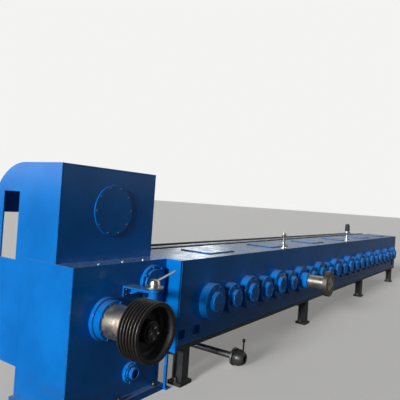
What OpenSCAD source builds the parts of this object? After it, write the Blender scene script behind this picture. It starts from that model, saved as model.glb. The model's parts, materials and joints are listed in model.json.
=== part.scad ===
// Multi-pass wire drawing machine: a long gear case on pedestals, with a row of
// drawing capstans in an open trough behind it, and a take-off gearbox at one end.
// Millimetres. +X runs along the machine from the take-off end, +Y towards the
// working side with the capstans, +Z up. The origin is on the floor, under the
// middle of the take-off gearbox.

/* [Take-off gearbox] */
// Length of the gearbox casing along the machine
box_len = 940; // [860:10:1040]
// Depth of the gearbox casing from front to back
box_depth = 528; // [480:4:600]
// Height of the machine's deck above the floor
deck_h = 1034; // [1000:2:1100]
// Height of the foot flange round the gearbox
foot_h = 50; // [30:2:60]
// How far the foot flange stands out of the casing
foot_lip = 52; // [44:2:60]
// Distance of the corner anchor bolts from the gearbox's ends
anchor_inset = 90; // [70:5:110]
// Size of the chamfer on casing edges
casing_chamfer = 6; // [2:1:10]

/* [Hood] */
// Ledge left free in front of the hood
hood_ledge = 173; // [120:1:190]
// Depth of the hood from its front panel to the back of the wheel chamber
hood_depth = 778; // [740:2:840]
// Height of the hood above the deck
hood_h = 667; // [620:1:760]
// Outer radius of the curved cowl at the back of the hood
cowl_r = 375; // [300:5:400]
// Thickness of the hood's plates
plate_t = 12; // [8:1:16]
// Distance of the wheel chamber's underside below the deck
chamber_below = 761; // [710:1:800]
// Width of the wire slot in the end plate
slot_w = 190; // [150:2:210]
// Height of the wire slot in the end plate
slot_h = 482; // [420:2:520]
// Distance of the wire slot's lower edge below the deck
slot_below = 26; // [10:2:60]
// Distance of the round cover's centre from the middle of the gearbox
hood_cover_x = 18; // [0:1:50]
// Diameter of the round cover on the hood front
hood_cover_d = 380; // [340:4:420]
// Thickness of the round cover on the hood front
hood_cover_t = 8; // [5:1:14]

/* [Take-off wheels] */
// Diameter of the two take-off wheels over their flanges
wheel_d = 450; // [400:5:480]
// Width of a take-off wheel
wheel_w = 120; // [100:2:150]
// Number of wire grooves on a take-off wheel
wheel_grooves = 5; // [3:1:6]
// Depth of a take-off wheel's rim
wheel_rim = 34; // [28:1:40]
// Diameter of a take-off wheel's hub
wheel_hub_d = 170; // [150:5:190]
// Height of the upper wheel's shaft above the deck
upper_wheel_h = 362; // [340:2:380]
// Distance of both wheels' shafts from the middle of the gearbox
wheel_x = 30; // [0:5:60]
// Distance of the wire plane behind the gearbox casing
wire_plane = 185; // [170:1:210]
// Width of the wire's passage in the hood's inner plate
passage_w = 150; // [100:5:160]
// Height of the wire's passage in the hood's inner plate
passage_h = 120; // [90:5:130]
// Diameter of the capstan and wheel shafts
shaft_d = 110; // [90:2:120]
// Diameter of the collar round each wheel shaft
collar_d = 240; // [200:5:280]
// Thickness of the collar round each wheel shaft
collar_t = 32; // [24:1:40]

/* [Belt pulley] */
// Distance of the pulley's shaft from the middle of the gearbox, towards the end
pulley_off = 157; // [120:1:190]
// Distance of the pulley's shaft below the deck
pulley_below = 373; // [350:1:410]
// Outer diameter of the belt pulley
pulley_d = 394; // [360:2:430]
// Width of the belt pulley
pulley_w = 158; // [154:1:180]
// Number of belt grooves
belt_grooves = 6; // [4:1:6]
// Distance between neighbouring belt grooves
groove_pitch = 25; // [24:0.5:25.5]
// Width of a belt groove at its mouth
groove_w = 20; // [16:0.5:21]
// Depth of a belt groove
groove_depth = 20; // [14:1:24]
// Wall left under the belt grooves
pulley_rim = 14; // [10:1:18]
// Depth of the dished recess in the pulley's outer face
pulley_dish = 96; // [80:2:104]
// How far the pulley's hub stands out of its web
pulley_hub_out = 56; // [40:2:70]
// Thickness of the pulley's web
pulley_web = 26; // [18:1:30]
// Diameter of the pulley's hub
pulley_hub_d = 150; // [130:2:170]
// Distance of the pulley's back from the gearbox casing
pulley_gap = 302; // [290:1:320]
// Diameter of the input shaft inside the sleeve
pulley_shaft_d = 80; // [60:2:90]
// Diameter of the bare steel bearing sleeve
sleeve_d = 232; // [210:2:240]
// Diameter of the larger step of the sleeve's flange
sleeve_flange_d = 306; // [280:2:330]
// Diameter of the smaller step of the sleeve's flange
sleeve_step_d = 276; // [252:2:290]
// Thickness of the larger step of the sleeve's flange
sleeve_flange_t = 30; // [20:1:40]
// Thickness of the smaller step of the sleeve's flange
sleeve_step_t = 52; // [30:1:60]

/* [Gearbox covers and shift lever] */
// Distance of the upper cap from the gearbox's end at the gear case
upper_cap_inset = 163; // [150:1:190]
// Distance of the upper cap's centre below the deck
upper_cap_below = 176; // [160:2:190]
// Diameter of the upper cap
upper_cap_d = 280; // [250:2:284]
// Distance of the pump cover from the gear case's end of the gearbox
pump_inset = 347; // [320:1:360]
// Height of the pump cover's centre above the floor
pump_z = 220; // [200:2:240]
// Diameter of the pump cover
pump_d = 156; // [140:2:170]
// Width of the shift bracket
bracket_w = 120; // [100:2:130]
// Distance of the bracket's middle from the middle of the gearbox
bracket_x = 49; // [40:1:60]
// Distance of the bracket's top below the deck
bracket_below = 164; // [150:1:170]
// Distance of the lever's shaft from the gearbox casing
bracket_reach = 240; // [220:2:250]
// Thickness of the bracket's plates
bracket_t = 12; // [8:1:14]
// Height of the bracket's back plate
bracket_back_h = 76; // [66:2:80]
// Distance of the bracket's gusset from the lever's axis
gusset_off = 10; // [0:1:14]
// Outer diameter of the bracket's bearing tube
tube_d = 72; // [60:1:76]
// Length of the bearing tube below the bracket's plate
tube_len = 73; // [60:1:76]
// How far the bearing tube stands above the bracket's plate
tube_rise = 17; // [8:1:24]
// Diameter of the lever's shaft
lever_shaft_d = 28; // [20:1:32]
// Diameter of the steel disc under the lever's hub
lever_disc_d = 134; // [120:2:150]
// Thickness of the steel disc under the lever's hub
lever_disc_t = 12; // [8:1:16]
// Diameter of the lever's hub at its foot
lever_hub_d = 86; // [76:2:92]
// Diameter of the lever's hub at its top
lever_hub_top_d = 60; // [50:2:68]
// Height of the lever's hub
lever_hub_h = 46; // [40:1:60]
// Length of the lever's bar from the shaft's axis
lever_len = 240; // [200:5:260]
// Diameter of the lever's bar
lever_bar_d = 16; // [12:1:20]
// Rise of the lever's bar above level, in degrees
lever_tilt = 14; // [5:1:25]

/* [Gear case] */
// How far the gear case stands in front of the gearbox casing
case_step = 144; // [130:2:170]
// Height of the gear case
case_h = 684; // [664:2:704]
// Thickness of the gear case's end plates
end_plate_t = 22; // [16:1:28]
// How far the end plates reach below the gear case
end_plate_lip = 42; // [20:1:46]
// Length of a cover on top of the gear case
top_cover_len = 440; // [400:10:500]
// Width of a cover on top of the gear case
top_cover_w = 336; // [300:4:360]
// Thickness of a cover on top of the gear case
top_cover_t = 10; // [6:1:16]
// Distance of the top covers from the gear case's front
top_cover_inset = 140; // [120:2:150]
// Number of top covers
top_covers_n = 6; // [4:1:6]
// Distance of the first top cover from the gear case's end
top_cover_first = 625; // [580:5:660]
// Side of the square lifting pockets in the gear case's front
pocket_w = 96; // [70:2:110]
// Depth of the lifting pockets
pocket_depth = 40; // [24:2:60]
// Distance of the lifting pockets' middle above the gear case's underside
pocket_z = 88; // [80:2:100]
// Distance of the first lifting pocket from the case's end plate
pocket_first = 50; // [50:5:70]
// Distance between the two lifting pockets at an end
pocket_pitch = 210; // [180:5:240]

/* [Shafts and bearing caps] */
// Number of shafts in the gear case
shafts_n = 23; // [21:2:23]
// Distance between neighbouring shafts
shaft_pitch = 330; // [326:1:334]
// Distance of the first shaft from the gear case's end
shaft_first = 447; // [435:1:460]
// Distance of the last shaft from the gear case's far end
shaft_last = 473; // [460:1:500]
// Distance of the shafts below the deck
shaft_below = 374; // [360:2:390]
// How much lower than the capstan shafts the idler shafts lie
idler_drop = 12; // [0:1:20]
// Diameter of a capstan shaft's bearing cap
main_cap_d = 316; // [300:2:330]
// Diameter of an idler shaft's bearing cap
idler_cap_d = 276; // [260:2:290]
// Thickness of the bearing caps
cap_t = 75; // [60:1:84]
// Diameter of the boss on a capstan shaft's cap
main_boss_d = 180; // [166:2:200]
// Diameter of the boss on an idler shaft's cap
idler_boss_d = 160; // [146:2:176]
// Thickness of the boss on a cap
boss_t = 34; // [26:1:44]
// Chamfer on the edges of the caps
cap_chamfer = 4; // [2:1:6]
// Which capstan shaft the motor drives, counted from the take-off end
drive_shaft = 4; // [3:1:6]

/* [Input coupling] */
// Diameter of the input shaft's bearing housing
input_housing_d = 184; // [176:2:210]
// Thickness of the input shaft's bearing housing
input_housing_t = 80; // [70:2:90]
// How far the drive shaft lies below the main shafts
drive_drop = 12; // [0:1:20]
// Diameter of the input shaft in its bearing housing
input_shaft_d = 90; // [70:2:110]
// Diameter of the bare steel coupling hub
coupling_hub_d = 148; // [130:2:160]
// Length of the bare steel coupling hub
coupling_hub_len = 205; // [190:1:230]
// Diameter of the coupling flange
coupling_d = 300; // [280:2:310]
// Thickness of the coupling flange
coupling_t = 52; // [40:1:60]
// Bolt circle of the coupling flange
coupling_pcd = 240; // [220:2:250]
// Diameter of the bolt holes in the coupling flange
coupling_hole_d = 18; // [14:1:22]
// Number of bolt holes in the coupling flange
coupling_holes_n = 12; // [8:1:12]
// Diameter of the locating recess in the coupling flange's face
coupling_recess_d = 170; // [120:5:200]
// Depth of the locating recess in the coupling flange's face
coupling_recess_t = 6; // [3:1:8]

/* [Drawing trough] */
// Gap between the back of a drawing capstan and the partition wall
capstan_gap = 78; // [72:1:84]
// Gap between the gear case and the trough's partition wall
partition_gap = 121; // [100:1:130]
// Thickness of the trough's walls
wall_t = 12; // [8:1:16]
// Height of the steel rail on the partition wall
rail_h = 6; // [3:1:10]
// Height of the trough's outer wall
outer_wall_h = 270; // [210:10:290]
// Distance of the cover beam's top below the deck
beam_below = 23; // [14:1:40]
// Height of the cover beam
beam_h = 60; // [50:2:80]
// Width of the cover beam and of its posts
beam_w = 40; // [30:2:50]
// Number of bays between the posts of the cover beam
bays_n = 6; // [6:1:8]
// Diameter of the drawing capstans
capstan_d = 450; // [420:5:460]
// Width of the drawing capstans
capstan_w = 76; // [64:2:90]
// Height of the flange at the back of a drawing capstan
capstan_flange = 10; // [6:1:14]
// Diameter of a drawing capstan's hub
capstan_hub_d = 180; // [150:5:200]
// Diameter of the shaft seals in the partition wall
seal_d = 210; // [190:2:240]
// Thickness of the shaft seals in the partition wall
seal_t = 20; // [14:1:26]
// Length of a die holder along the machine
die_len = 92; // [80:2:100]
// Height of a die holder
die_h = 130; // [110:2:140]
// How far a die holder reaches past the wire plane
die_reach = 55; // [45:1:70]
// Thickness of the flange that holds a die holder on the partition wall
die_flange_t = 16; // [12:1:20]
// How far a die holder's flange stands out of its block
die_flange_lip = 26; // [20:1:30]
// Width of the die's seat in the holder, open at the top
die_seat = 46; // [40:1:56]
// Diameter of the wire inlet in the trough's far end
inlet_d = 80; // [60:2:100]

/* [Supports] */
// Height of the two bed rails under the gear case and the trough
bed_rail_h = 45; // [35:1:60]
// Width of the bed rails
bed_rail_w = 80; // [60:5:100]
// Number of pedestals
pedestals_n = 4; // [4:1:4]
// Distance of the first pedestal from the gear case's end
pedestal_first = 195; // [180:5:220]
// Distance between neighbouring pedestals
pedestal_pitch = 2690; // [2600:10:2740]
// Distance of the last pedestal from the gear case's far end
pedestal_last = 125; // [105:5:160]
// Width of a pedestal's posts along the machine
post_w = 90; // [80:2:110]
// Depth of a pedestal's posts
post_d = 100; // [90:2:120]
// Distance of the front posts behind the gear case's front
post_inset = 25; // [10:5:40]
// Height of a pedestal's cross beam
cross_h = 80; // [60:2:100]
// Thickness of the foot plates
foot_plate_t = 30; // [20:1:60]
// How far the foot plates stand out of the posts
foot_plate_lip = 34; // [30:1:38]
// Diameter of the anchor bolt holes in the foot plates
pedestal_anchor_d = 18; // [14:1:20]
// Depth of the thin leg under the gear case's end plate
leg_d = 24; // [20:1:34]
// Length of the leg's foot along the machine
leg_foot_len = 60; // [50:2:70]
// Thickness of the leg's foot
leg_foot_t = 12; // [8:1:16]
// Diameter of the anchor bolt holes in the gearbox's foot flange
anchor_d = 22; // [18:1:26]

/* [Pipes] */
// Distance of the drain pipe from the gear case's end
drain_x = 856; // [820:2:900]
// Height of the drain pipe's centre above the floor
drain_z = 92; // [88:1:110]
// Outer diameter of the drain pipe
drain_d = 60; // [56:1:66]
// Wall of the drain pipe
drain_wall = 4; // [3:0.5:6]
// Depth of the drain's open mouth in front of the valve's shut ball
drain_mouth = 50; // [40:5:60]
// Length of the drain valve behind its flange
valve_len = 98; // [90:2:110]
// Diameter of the drain valve's body
valve_body_d = 150; // [136:2:160]
// Height of the valve's upright rod above the pipe's axis
valve_rod_h = 180; // [160:1:190]
// Diameter of the drain's flange
drain_flange_d = 165; // [155:1:170]
// Thickness of the drain's flange
drain_flange_t = 18; // [14:1:22]
// How far the drain's flange stands in front of the gear case
drain_reach = 72; // [60:2:90]
// Bend radius of the drain pipe's centre line
drain_bend = 90; // [80:5:110]
// Distance of the oil filler from the gear case's end
filler_x = 2030; // [1980:10:2100]
// Distance of the oil filler behind the gear case's front
filler_inset = 38; // [24:1:44]
// Height of the oil filler above the deck
filler_h = 182; // [160:2:200]
// Distance of the breather from the gear case's end
breather_x = 4620; // [4560:5:4650]
// Distance of the breather behind the gear case's front
breather_inset = 73; // [60:1:90]
// Height of the breather above the deck
breather_h = 280; // [240:2:300]
// Diameter of the breather's neck
breather_neck_d = 34; // [28:1:40]
// Diameter of the collar under the breather's cap
breather_collar_d = 92; // [80:2:100]
// Height of the collar under the breather's cap
breather_collar_h = 34; // [24:1:40]
// Diameter of the breather's cap
breather_cap_d = 72; // [60:2:80]
// Height of the breather's cap
breather_cap_h = 116; // [100:2:130]

/* [Hidden] */
$fn = 96;
eps = 0.01;
// Radial clearance of a turning shaft in its bearing
shaft_clear = 0.05;
// Gap between pieces that turn past each other
run_gap = 6;
// Gap between the lever's disc and the bracket's plate
seat_gap = 0.3;
// Length of the lever's shaft below its bearing tube
shaft_stub = 10;
// Radial clearance of a shaft through a sealed wall
wall_clear = 8;

case_z = deck_h - case_h;
chamber_z = deck_h - chamber_below;
upper_cap_x = box_len / 2 - upper_cap_inset;
pump_x = box_len / 2 - pump_inset;
case_len = shaft_first + (shafts_n - 1) * shaft_pitch + shaft_last;
shaft_z = deck_h - shaft_below;
pulley_z = deck_h - pulley_below;
upper_wheel_z = deck_h + upper_wheel_h;
slot_z = deck_h - slot_below;
upper_cap_z = deck_h - upper_cap_below;
bracket_z = deck_h - bracket_below;
beam_z = deck_h - beam_below;
box_x0 = -box_len / 2;
box_x1 = box_len / 2;
box_y0 = -box_depth / 2;
box_y1 = box_depth / 2;
hood_y0 = box_y0 + hood_ledge;
hood_y1 = hood_y0 + hood_depth;
hood_z1 = deck_h + hood_h;
wire_y = box_y1 + wire_plane;
case_x0 = box_x1;
case_x1 = case_x0 + case_len;
case_y0 = box_y0 - case_step;
part_y1 = wire_y - capstan_w / 2 - capstan_gap;
part_y0 = part_y1 - wall_t;
case_y1 = part_y0 - partition_gap;
trough_x0 = case_x0;
trough_x1 = case_x1;
trough_y1 = hood_y1;
shaft_x0 = case_x0 + shaft_first;
cap_y = case_y0 - cap_t;
boss_y = cap_y - boss_t;
input_housing_y = cap_y - input_housing_t;
input_hub_y = input_housing_y - coupling_hub_len;
coupling_y = input_hub_y - coupling_t;
drive_index = 2 * (drive_shaft - 1);
drive_x = shaft_x0 + drive_index * shaft_pitch;
drive_z = shaft_z - drive_drop;
main_shafts = [for (i = [0:2:shafts_n - 1]) shaft_x0 + i * shaft_pitch];
idler_shafts = [for (i = [1:2:shafts_n - 2]) shaft_x0 + i * shaft_pitch];
sleeve_y = box_y0 - sleeve_flange_t - sleeve_step_t;
pulley_y1 = box_y0 - pulley_gap;
pulley_y0 = pulley_y1 - pulley_w;
web_y0 = pulley_y0 + pulley_dish;
web_y1 = web_y0 + pulley_web;
lever_y = box_y0 - bracket_reach;
pedestals = [for (i = [0:pedestals_n - 1])
    i < pedestals_n - 1
        ? case_x0 + pedestal_first + i * pedestal_pitch
        : case_x1 - pedestal_last];
wire_z = shaft_z + capstan_d / 2 - capstan_flange;
die_stations = [for (x = concat([shaft_x0 - 2 * shaft_pitch], main_shafts)) x + shaft_pitch];
rail_z = case_z - bed_rail_h;
cross_z = rail_z - cross_h;
front_post_y = case_y0 + post_inset;
rear_post_y = trough_y1 - post_d;

BLUE = [0.02, 0.20, 0.55];
STEEL = [0.66, 0.64, 0.60];
IRON = [0.10, 0.10, 0.10];
DARK = [0.16, 0.17, 0.18];
BLACK = [0.03, 0.03, 0.03];
RING = [0.80, 0.80, 0.82];

// A block between two corners.
module block(a, b) {
    translate(a)
        cube([b[0] - a[0], b[1] - a[1], b[2] - a[2]]);
}

// A closed casing between two corners, with chamfered upright front edges.
module casing(a, b, c) {
    translate([0, 0, a[2]])
        linear_extrude(b[2] - a[2])
            polygon([
                [a[0] + c, a[1]], [b[0] - c, a[1]], [b[0], a[1] + c], [b[0], b[1]],
                [a[0], b[1]], [a[0], a[1] + c]
            ]);
}

// Turns a revolved profile so that its axis lies along -Y from the point p.
module along_y(p) {
    translate(p)
        rotate([90, 0, 0])
            children();
}

// A disc along -Y from the plane y, with a chamfer round its outer face.
module disc_y(x, y, z, d, t, c) {
    along_y([x, y, z])
        rotate_extrude()
            polygon([[0, 0], [d / 2, 0], [d / 2, t - c], [d / 2 - c, t], [0, t]]);
}

// A ring along -Y from the plane y, with a bore and a chamfer.
module ring_y(x, y, z, d, bore, t, c) {
    along_y([x, y, z])
        rotate_extrude()
            polygon([
                [bore / 2, 0], [d / 2, 0], [d / 2, t - c], [d / 2 - c, t], [bore / 2, t]
            ]);
}

// Holes along Y on a bolt circle.
module holes_y(x, y, z, pcd, n, d, depth) {
    for (i = [0:n - 1])
        translate([x, y, z])
            rotate([0, i * 360 / n, 0])
                translate([pcd / 2, 0, 0])
                    rotate([90, 0, 0])
                        cylinder(d = d, h = depth, center = true, $fn = 24);
}

// Foot flange of the take-off gearbox, with three anchor holes front and back.
foot_y = box_depth / 2 + foot_lip;
anchor_x = box_len / 2 - anchor_inset;
anchor_y = box_depth / 2 + foot_lip / 2;
module takeoff_base() {
    color(BLUE)
        difference() {
            block([box_x0, -foot_y, 0], [box_x1, foot_y, foot_h]);
            for (x = [-anchor_x, 0, anchor_x], y = [-anchor_y, anchor_y])
                translate([x, y, -eps])
                    cylinder(d = anchor_d, h = foot_h + 2 * eps, $fn = 32);
        }
}

module takeoff_gearbox() {
    color(BLUE)
        casing([box_x0, box_y0, foot_h], [box_x1, box_y1, deck_h], casing_chamfer);
}

// Outline of a hood end plate in the Y-Z plane: square at the front, a quarter
// arc at the top back, and the wheel chamber reaching down behind the gearbox.
arc_y = hood_y1 - cowl_r;
arc_z = hood_z1 - cowl_r;
module hood_outline() {
    translate([hood_y0, deck_h])
        square([arc_y - hood_y0 + eps, hood_h]);
    translate([box_y1, chamber_z])
        square([hood_y1 - box_y1, arc_z - chamber_z]);
    intersection() {
        translate([arc_y, arc_z])
            circle(r = cowl_r, $fn = 128);
        translate([arc_y, arc_z - eps])
            square([cowl_r, cowl_r + eps]);
    }
}

// Stands a Y-Z outline up as a plate from x towards +X.
module plate_x(x, t) {
    translate([x, 0, 0])
        rotate([90, 0, 90])
            linear_extrude(t)
                children();
}

module hood_end_plate() {
    color(BLUE)
        plate_x(box_x0, plate_t)
            difference() {
                hood_outline();
                translate([wire_y - slot_w / 2, slot_z])
                    square([slot_w, slot_h]);
            }
}

// The inner plate has a passage for the wire that comes from the last die.
module hood_inner_plate() {
    color(BLUE)
        plate_x(box_x1 - plate_t, plate_t)
            difference() {
                hood_outline();
                translate([wire_y - passage_w / 2, wire_z - passage_h / 2])
                    square([passage_w, passage_h]);
            }
}

hood_x0 = box_x0 + plate_t;
hood_x1 = box_x1 - plate_t;
module hood_front_panel() {
    color(BLUE)
        block([hood_x0, hood_y0, deck_h], [hood_x1, hood_y0 + plate_t, hood_z1 - plate_t]);
}

module hood_gear_housing() {
    color(BLUE)
        block([hood_x0, hood_y0 + plate_t, deck_h], [hood_x1, box_y1, hood_z1 - plate_t]);
}

// Curved sheet over the wheels. It ends where the arc turns upright.
module hood_cowl() {
    color(BLUE)
        plate_x(hood_x0, hood_x1 - hood_x0)
            union() {
                translate([hood_y0, hood_z1 - plate_t])
                    square([arc_y - hood_y0 + eps, plate_t]);
                intersection() {
                    translate([arc_y, arc_z])
                        difference() {
                            circle(r = cowl_r, $fn = 128);
                            circle(r = cowl_r - plate_t, $fn = 128);
                        }
                    translate([arc_y, arc_z])
                        square([cowl_r, cowl_r]);
                }
            }
}

module hood_round_cover() {
    color(BLUE)
        disc_y(hood_cover_x, hood_y0, upper_wheel_z, hood_cover_d, hood_cover_t, 2);
}

module chamber_floor() {
    color(BLUE)
        block([hood_x0, box_y1, chamber_z], [hood_x1, hood_y1, chamber_z + plate_t]);
}

// Half profile of a grooved wheel: a rim with round-bottomed wire grooves, a thin
// web and a hub. The wheel's width runs along the profile's Y.
module wheel_profile(d, w, n, rim, hub_d) {
    land = 8;
    pitch = (w - 2 * land) / n;
    difference() {
        union() {
            translate([d / 2 - rim, 0])
                square([rim, w]);
            translate([0, w / 2 - 12])
                square([d / 2, 24]);
            square([hub_d / 2, w]);
        }
        for (i = [0:n - 1])
            translate([d / 2 + pitch * 0.12, land + pitch * (i + 0.5)])
                circle(d = pitch * 0.82, $fn = 24);
    }
}

module takeoff_wheels() {
    color(RING)
        for (z = [shaft_z, upper_wheel_z])
            along_y([wheel_x, wire_y + wheel_w / 2, z])
                rotate_extrude($fn = 128)
                    wheel_profile(wheel_d, wheel_w, wheel_grooves, wheel_rim, wheel_hub_d);
}

// The wheels' shafts, each with the flanged collar that carries it on the gearbox.
module takeoff_wheel_shafts() {
    color(STEEL)
        for (z = [shaft_z, upper_wheel_z]) {
            along_y([wheel_x, wire_y - wheel_w / 2, z])
                cylinder(d = shaft_d, h = wire_y - wheel_w / 2 - box_y1);
            along_y([wheel_x, box_y1 + collar_t, z])
                cylinder(d = collar_d, h = collar_t);
        }
}

// Stepped flange that holds the bearing sleeve on the gearbox.
module sleeve_flange() {
    c = cap_chamfer;
    r1 = sleeve_flange_d / 2;
    r2 = sleeve_step_d / 2;
    t1 = sleeve_flange_t;
    t2 = t1 + sleeve_step_t;
    color(BLUE)
        along_y([-pulley_off, box_y0, pulley_z])
            rotate_extrude()
                polygon([
                    [0, 0], [r1, 0], [r1, t1 - c], [r1 - c, t1], [r2, t1],
                    [r2, t2 - c], [r2 - c, t2], [0, t2]
                ]);
}

// The sleeve reaches into the pulley's back, and the input shaft turns in it.
sleeve_end_y = web_y1 + run_gap;
module bearing_sleeve() {
    color(STEEL)
        ring_y(-pulley_off, sleeve_y, pulley_z, sleeve_d,
               pulley_shaft_d + 2 * shaft_clear, sleeve_y - sleeve_end_y, 3);
}

// Stepped cap of the intermediate shaft, and the round cover of the oil pump with
// its hollow boss.
module gearbox_caps() {
    r = pump_d / 2;
    step = 0.78;
    t = 26;
    color(BLUE) {
        disc_y(upper_cap_x, box_y0, upper_cap_z, upper_cap_d, t, cap_chamfer);
        disc_y(upper_cap_x, box_y0 - t + eps, upper_cap_z, upper_cap_d * step, t / 2, cap_chamfer);
        along_y([pump_x, box_y0, pump_z])
            rotate_extrude()
                polygon([
                    [0, 0], [r, 0], [r, t - 4], [r - 3, t - 1], [r * 0.8, t - 1], [r * 0.8, t + 8],
                    [r * 0.56, t + 8], [r * 0.56, t + 36], [r * 0.4, t + 36], [r * 0.4, t + 4],
                    [0, t + 4]
                ]);
    }
}

// Wall bracket: back plate, top plate, a gusset under the plate and a bearing
// tube for the lever's upright shaft.
module shift_bracket() {
    x0 = bracket_x - bracket_w / 2;
    x1 = bracket_x + bracket_w / 2;
    zt = bracket_z;
    t = bracket_t;
    nose = tube_d * 0.6;
    color(BLUE)
        difference() {
            union() {
                block([x0, box_y0 - t, zt - bracket_back_h], [x1, box_y0, zt]);
                translate([0, 0, zt - t])
                    linear_extrude(t)
                        hull() {
                            translate([x0, box_y0 - t])
                                square([bracket_w, t]);
                            translate([bracket_x, lever_y])
                                circle(r = nose, $fn = 64);
                        }
                plate_x(bracket_x + gusset_off - t / 2, t)
                    polygon([
                        [box_y0, zt - bracket_back_h], [box_y0, zt], [lever_y, zt],
                        [lever_y, zt - 26], [box_y0 - 90, zt - 34]
                    ]);
                translate([bracket_x, lever_y, zt - t - tube_len])
                    cylinder(d = tube_d, h = tube_len + t + tube_rise);
            }
            translate([bracket_x, lever_y, zt - t - tube_len - 1])
                cylinder(d = lever_shaft_d + 2 * shaft_clear, h = tube_len + t + tube_rise + 2);
        }
}

module lifting_pocket(x) {
    half = pocket_w * 0.4;
    block([x - pocket_w / 2, case_y0 - 1, case_z + pocket_z - half],
          [x + pocket_w / 2, case_y0 + pocket_depth, case_z + pocket_z + half]);
}

// Long closed gear case, with two lifting pockets low in its front at each end.
module gear_case() {
    x0 = case_x0 + end_plate_t;
    x1 = case_x1 - end_plate_t;
    color(BLUE)
        difference() {
            block([x0, case_y0, case_z], [x1, case_y1, deck_h]);
            for (x = [x0 + pocket_first, x1 - pocket_first], s = [0, 1])
                lifting_pocket(x < (x0 + x1) / 2 ? x + s * pocket_pitch : x - s * pocket_pitch);
        }
}

module case_plate(x) {
    block([x, case_y0, case_z - end_plate_lip], [x + end_plate_t, case_y1, deck_h]);
}

module gear_case_end_plates() {
    color(BLUE)
        for (x = [case_x0, case_x1 - end_plate_t])
            case_plate(x);
}

// Raised inspection covers, one over every second pair of capstan shafts.
module top_covers() {
    pitch = 4 * shaft_pitch;
    y0 = case_y0 + top_cover_inset;
    color(BLUE)
        for (i = [0:top_covers_n - 1])
            translate([case_x0 + top_cover_first + i * pitch, y0, deck_h])
                block([0, 0, 0], [top_cover_len, top_cover_w, top_cover_t]);
}

// Bearing cap with its boss, turned as one piece.
module stepped_cap(x, d, boss_d) {
    c = cap_chamfer;
    t = cap_t + boss_t;
    along_y([x, case_y0, shaft_z])
        rotate_extrude()
            polygon([
                [0, 0], [d / 2, 0], [d / 2, cap_t - c], [d / 2 - c, cap_t],
                [boss_d / 2, cap_t], [boss_d / 2, t - c], [boss_d / 2 - c, t], [0, t]
            ]);
}

// The driven shaft's cap carries the input bearing housing in place of a boss.
module capstan_bearing_caps() {
    color(BLUE)
        for (i = [0:len(main_shafts) - 1])
            if (i == drive_shaft - 1)
                disc_y(main_shafts[i], case_y0, drive_z, main_cap_d, cap_t, cap_chamfer);
            else
                stepped_cap(main_shafts[i], main_cap_d, main_boss_d);
}

module idler_bearing_caps() {
    color(BLUE)
        translate([0, 0, -idler_drop])
            for (x = idler_shafts)
                stepped_cap(x, idler_cap_d, idler_boss_d);
}

module input_bearing_housing() {
    color(BLUE)
        ring_y(drive_x, cap_y, drive_z, input_housing_d,
               input_shaft_d + 2 * shaft_clear, input_housing_t - run_gap, cap_chamfer);
}

// Coupling half: a journal in the housing, a bare hub and a drilled flange.
module input_coupling() {
    color(STEEL)
        difference() {
            union() {
                along_y([drive_x, cap_y - 2, drive_z])
                    cylinder(d = input_shaft_d, h = input_housing_t);
                along_y([drive_x, input_housing_y, drive_z])
                    cylinder(d = coupling_hub_d, h = coupling_hub_len + eps);
                disc_y(drive_x, input_hub_y, drive_z, coupling_d, coupling_t, 3);
            }
            holes_y(drive_x, input_hub_y, drive_z, coupling_pcd, coupling_holes_n,
                    coupling_hole_d, 3 * coupling_t);
            along_y([drive_x, coupling_y + coupling_recess_t, drive_z])
                cylinder(d = coupling_recess_d, h = coupling_recess_t + 1);
            along_y([drive_x, coupling_y + coupling_t, drive_z])
                cylinder(d = input_shaft_d / 2, h = coupling_t);
        }
}

module oil_filler() {
    x = case_x0 + filler_x;
    y = case_y0 + filler_inset;
    color(STEEL)
        translate([x, y, deck_h]) {
            cylinder(d = 28, h = filler_h - 30);
            translate([0, 0, 52])
                cylinder(d = 46, h = 16);
            translate([0, 0, filler_h - 34])
                cylinder(d1 = 28, d2 = 42, h = 18);
            translate([-36, -7, filler_h - 18])
                cube([72, 14, 18]);
        }
}

breather_top = breather_h - breather_cap_h;
module breather_pipe() {
    h = breather_collar_h;
    color(STEEL)
        translate([case_x0 + breather_x, case_y0 + breather_inset, deck_h]) {
            cylinder(d = breather_neck_d, h = breather_top - h / 2);
            translate([0, 0, breather_top - h])
                cylinder(d = breather_collar_d, h = h);
        }
}

module breather_cap() {
    color(BLACK)
        translate([case_x0 + breather_x, case_y0 + breather_inset, deck_h + breather_top])
            cylinder(d = breather_cap_d, h = breather_cap_h);
}

// Trough: floor, partition wall, outer wall and far end wall.
module trough_floor() {
    color(BLUE)
        block([trough_x0, case_y1, case_z], [trough_x1, trough_y1, case_z + wall_t]);
}

module partition_wall() {
    color(BLUE)
        difference() {
            block([trough_x0, part_y0, case_z + wall_t], [trough_x1 - wall_t, part_y1, deck_h]);
            for (x = main_shafts)
                along_y([x, part_y1 + 1, shaft_z])
                    cylinder(d = shaft_d + 2 * wall_clear, h = wall_t + 2);
        }
}

module partition_rail() {
    color(STEEL)
        block([trough_x0, part_y0 - 4, deck_h], [trough_x1 - wall_t, part_y1 + 6, deck_h + rail_h]);
}

module trough_outer_wall() {
    color(BLUE)
        block([trough_x0, trough_y1 - wall_t, case_z + wall_t],
              [trough_x1 - wall_t, trough_y1, case_z + outer_wall_h]);
}

module trough_far_wall() {
    color(BLUE)
        difference() {
            block([trough_x1 - wall_t, case_y1, case_z + wall_t],
                  [trough_x1, trough_y1, beam_z]);
            translate([trough_x1 - wall_t / 2, wire_y, wire_z])
                rotate([0, 90, 0])
                    cylinder(d = inlet_d, h = 2 * wall_t, center = true);
        }
}

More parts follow.
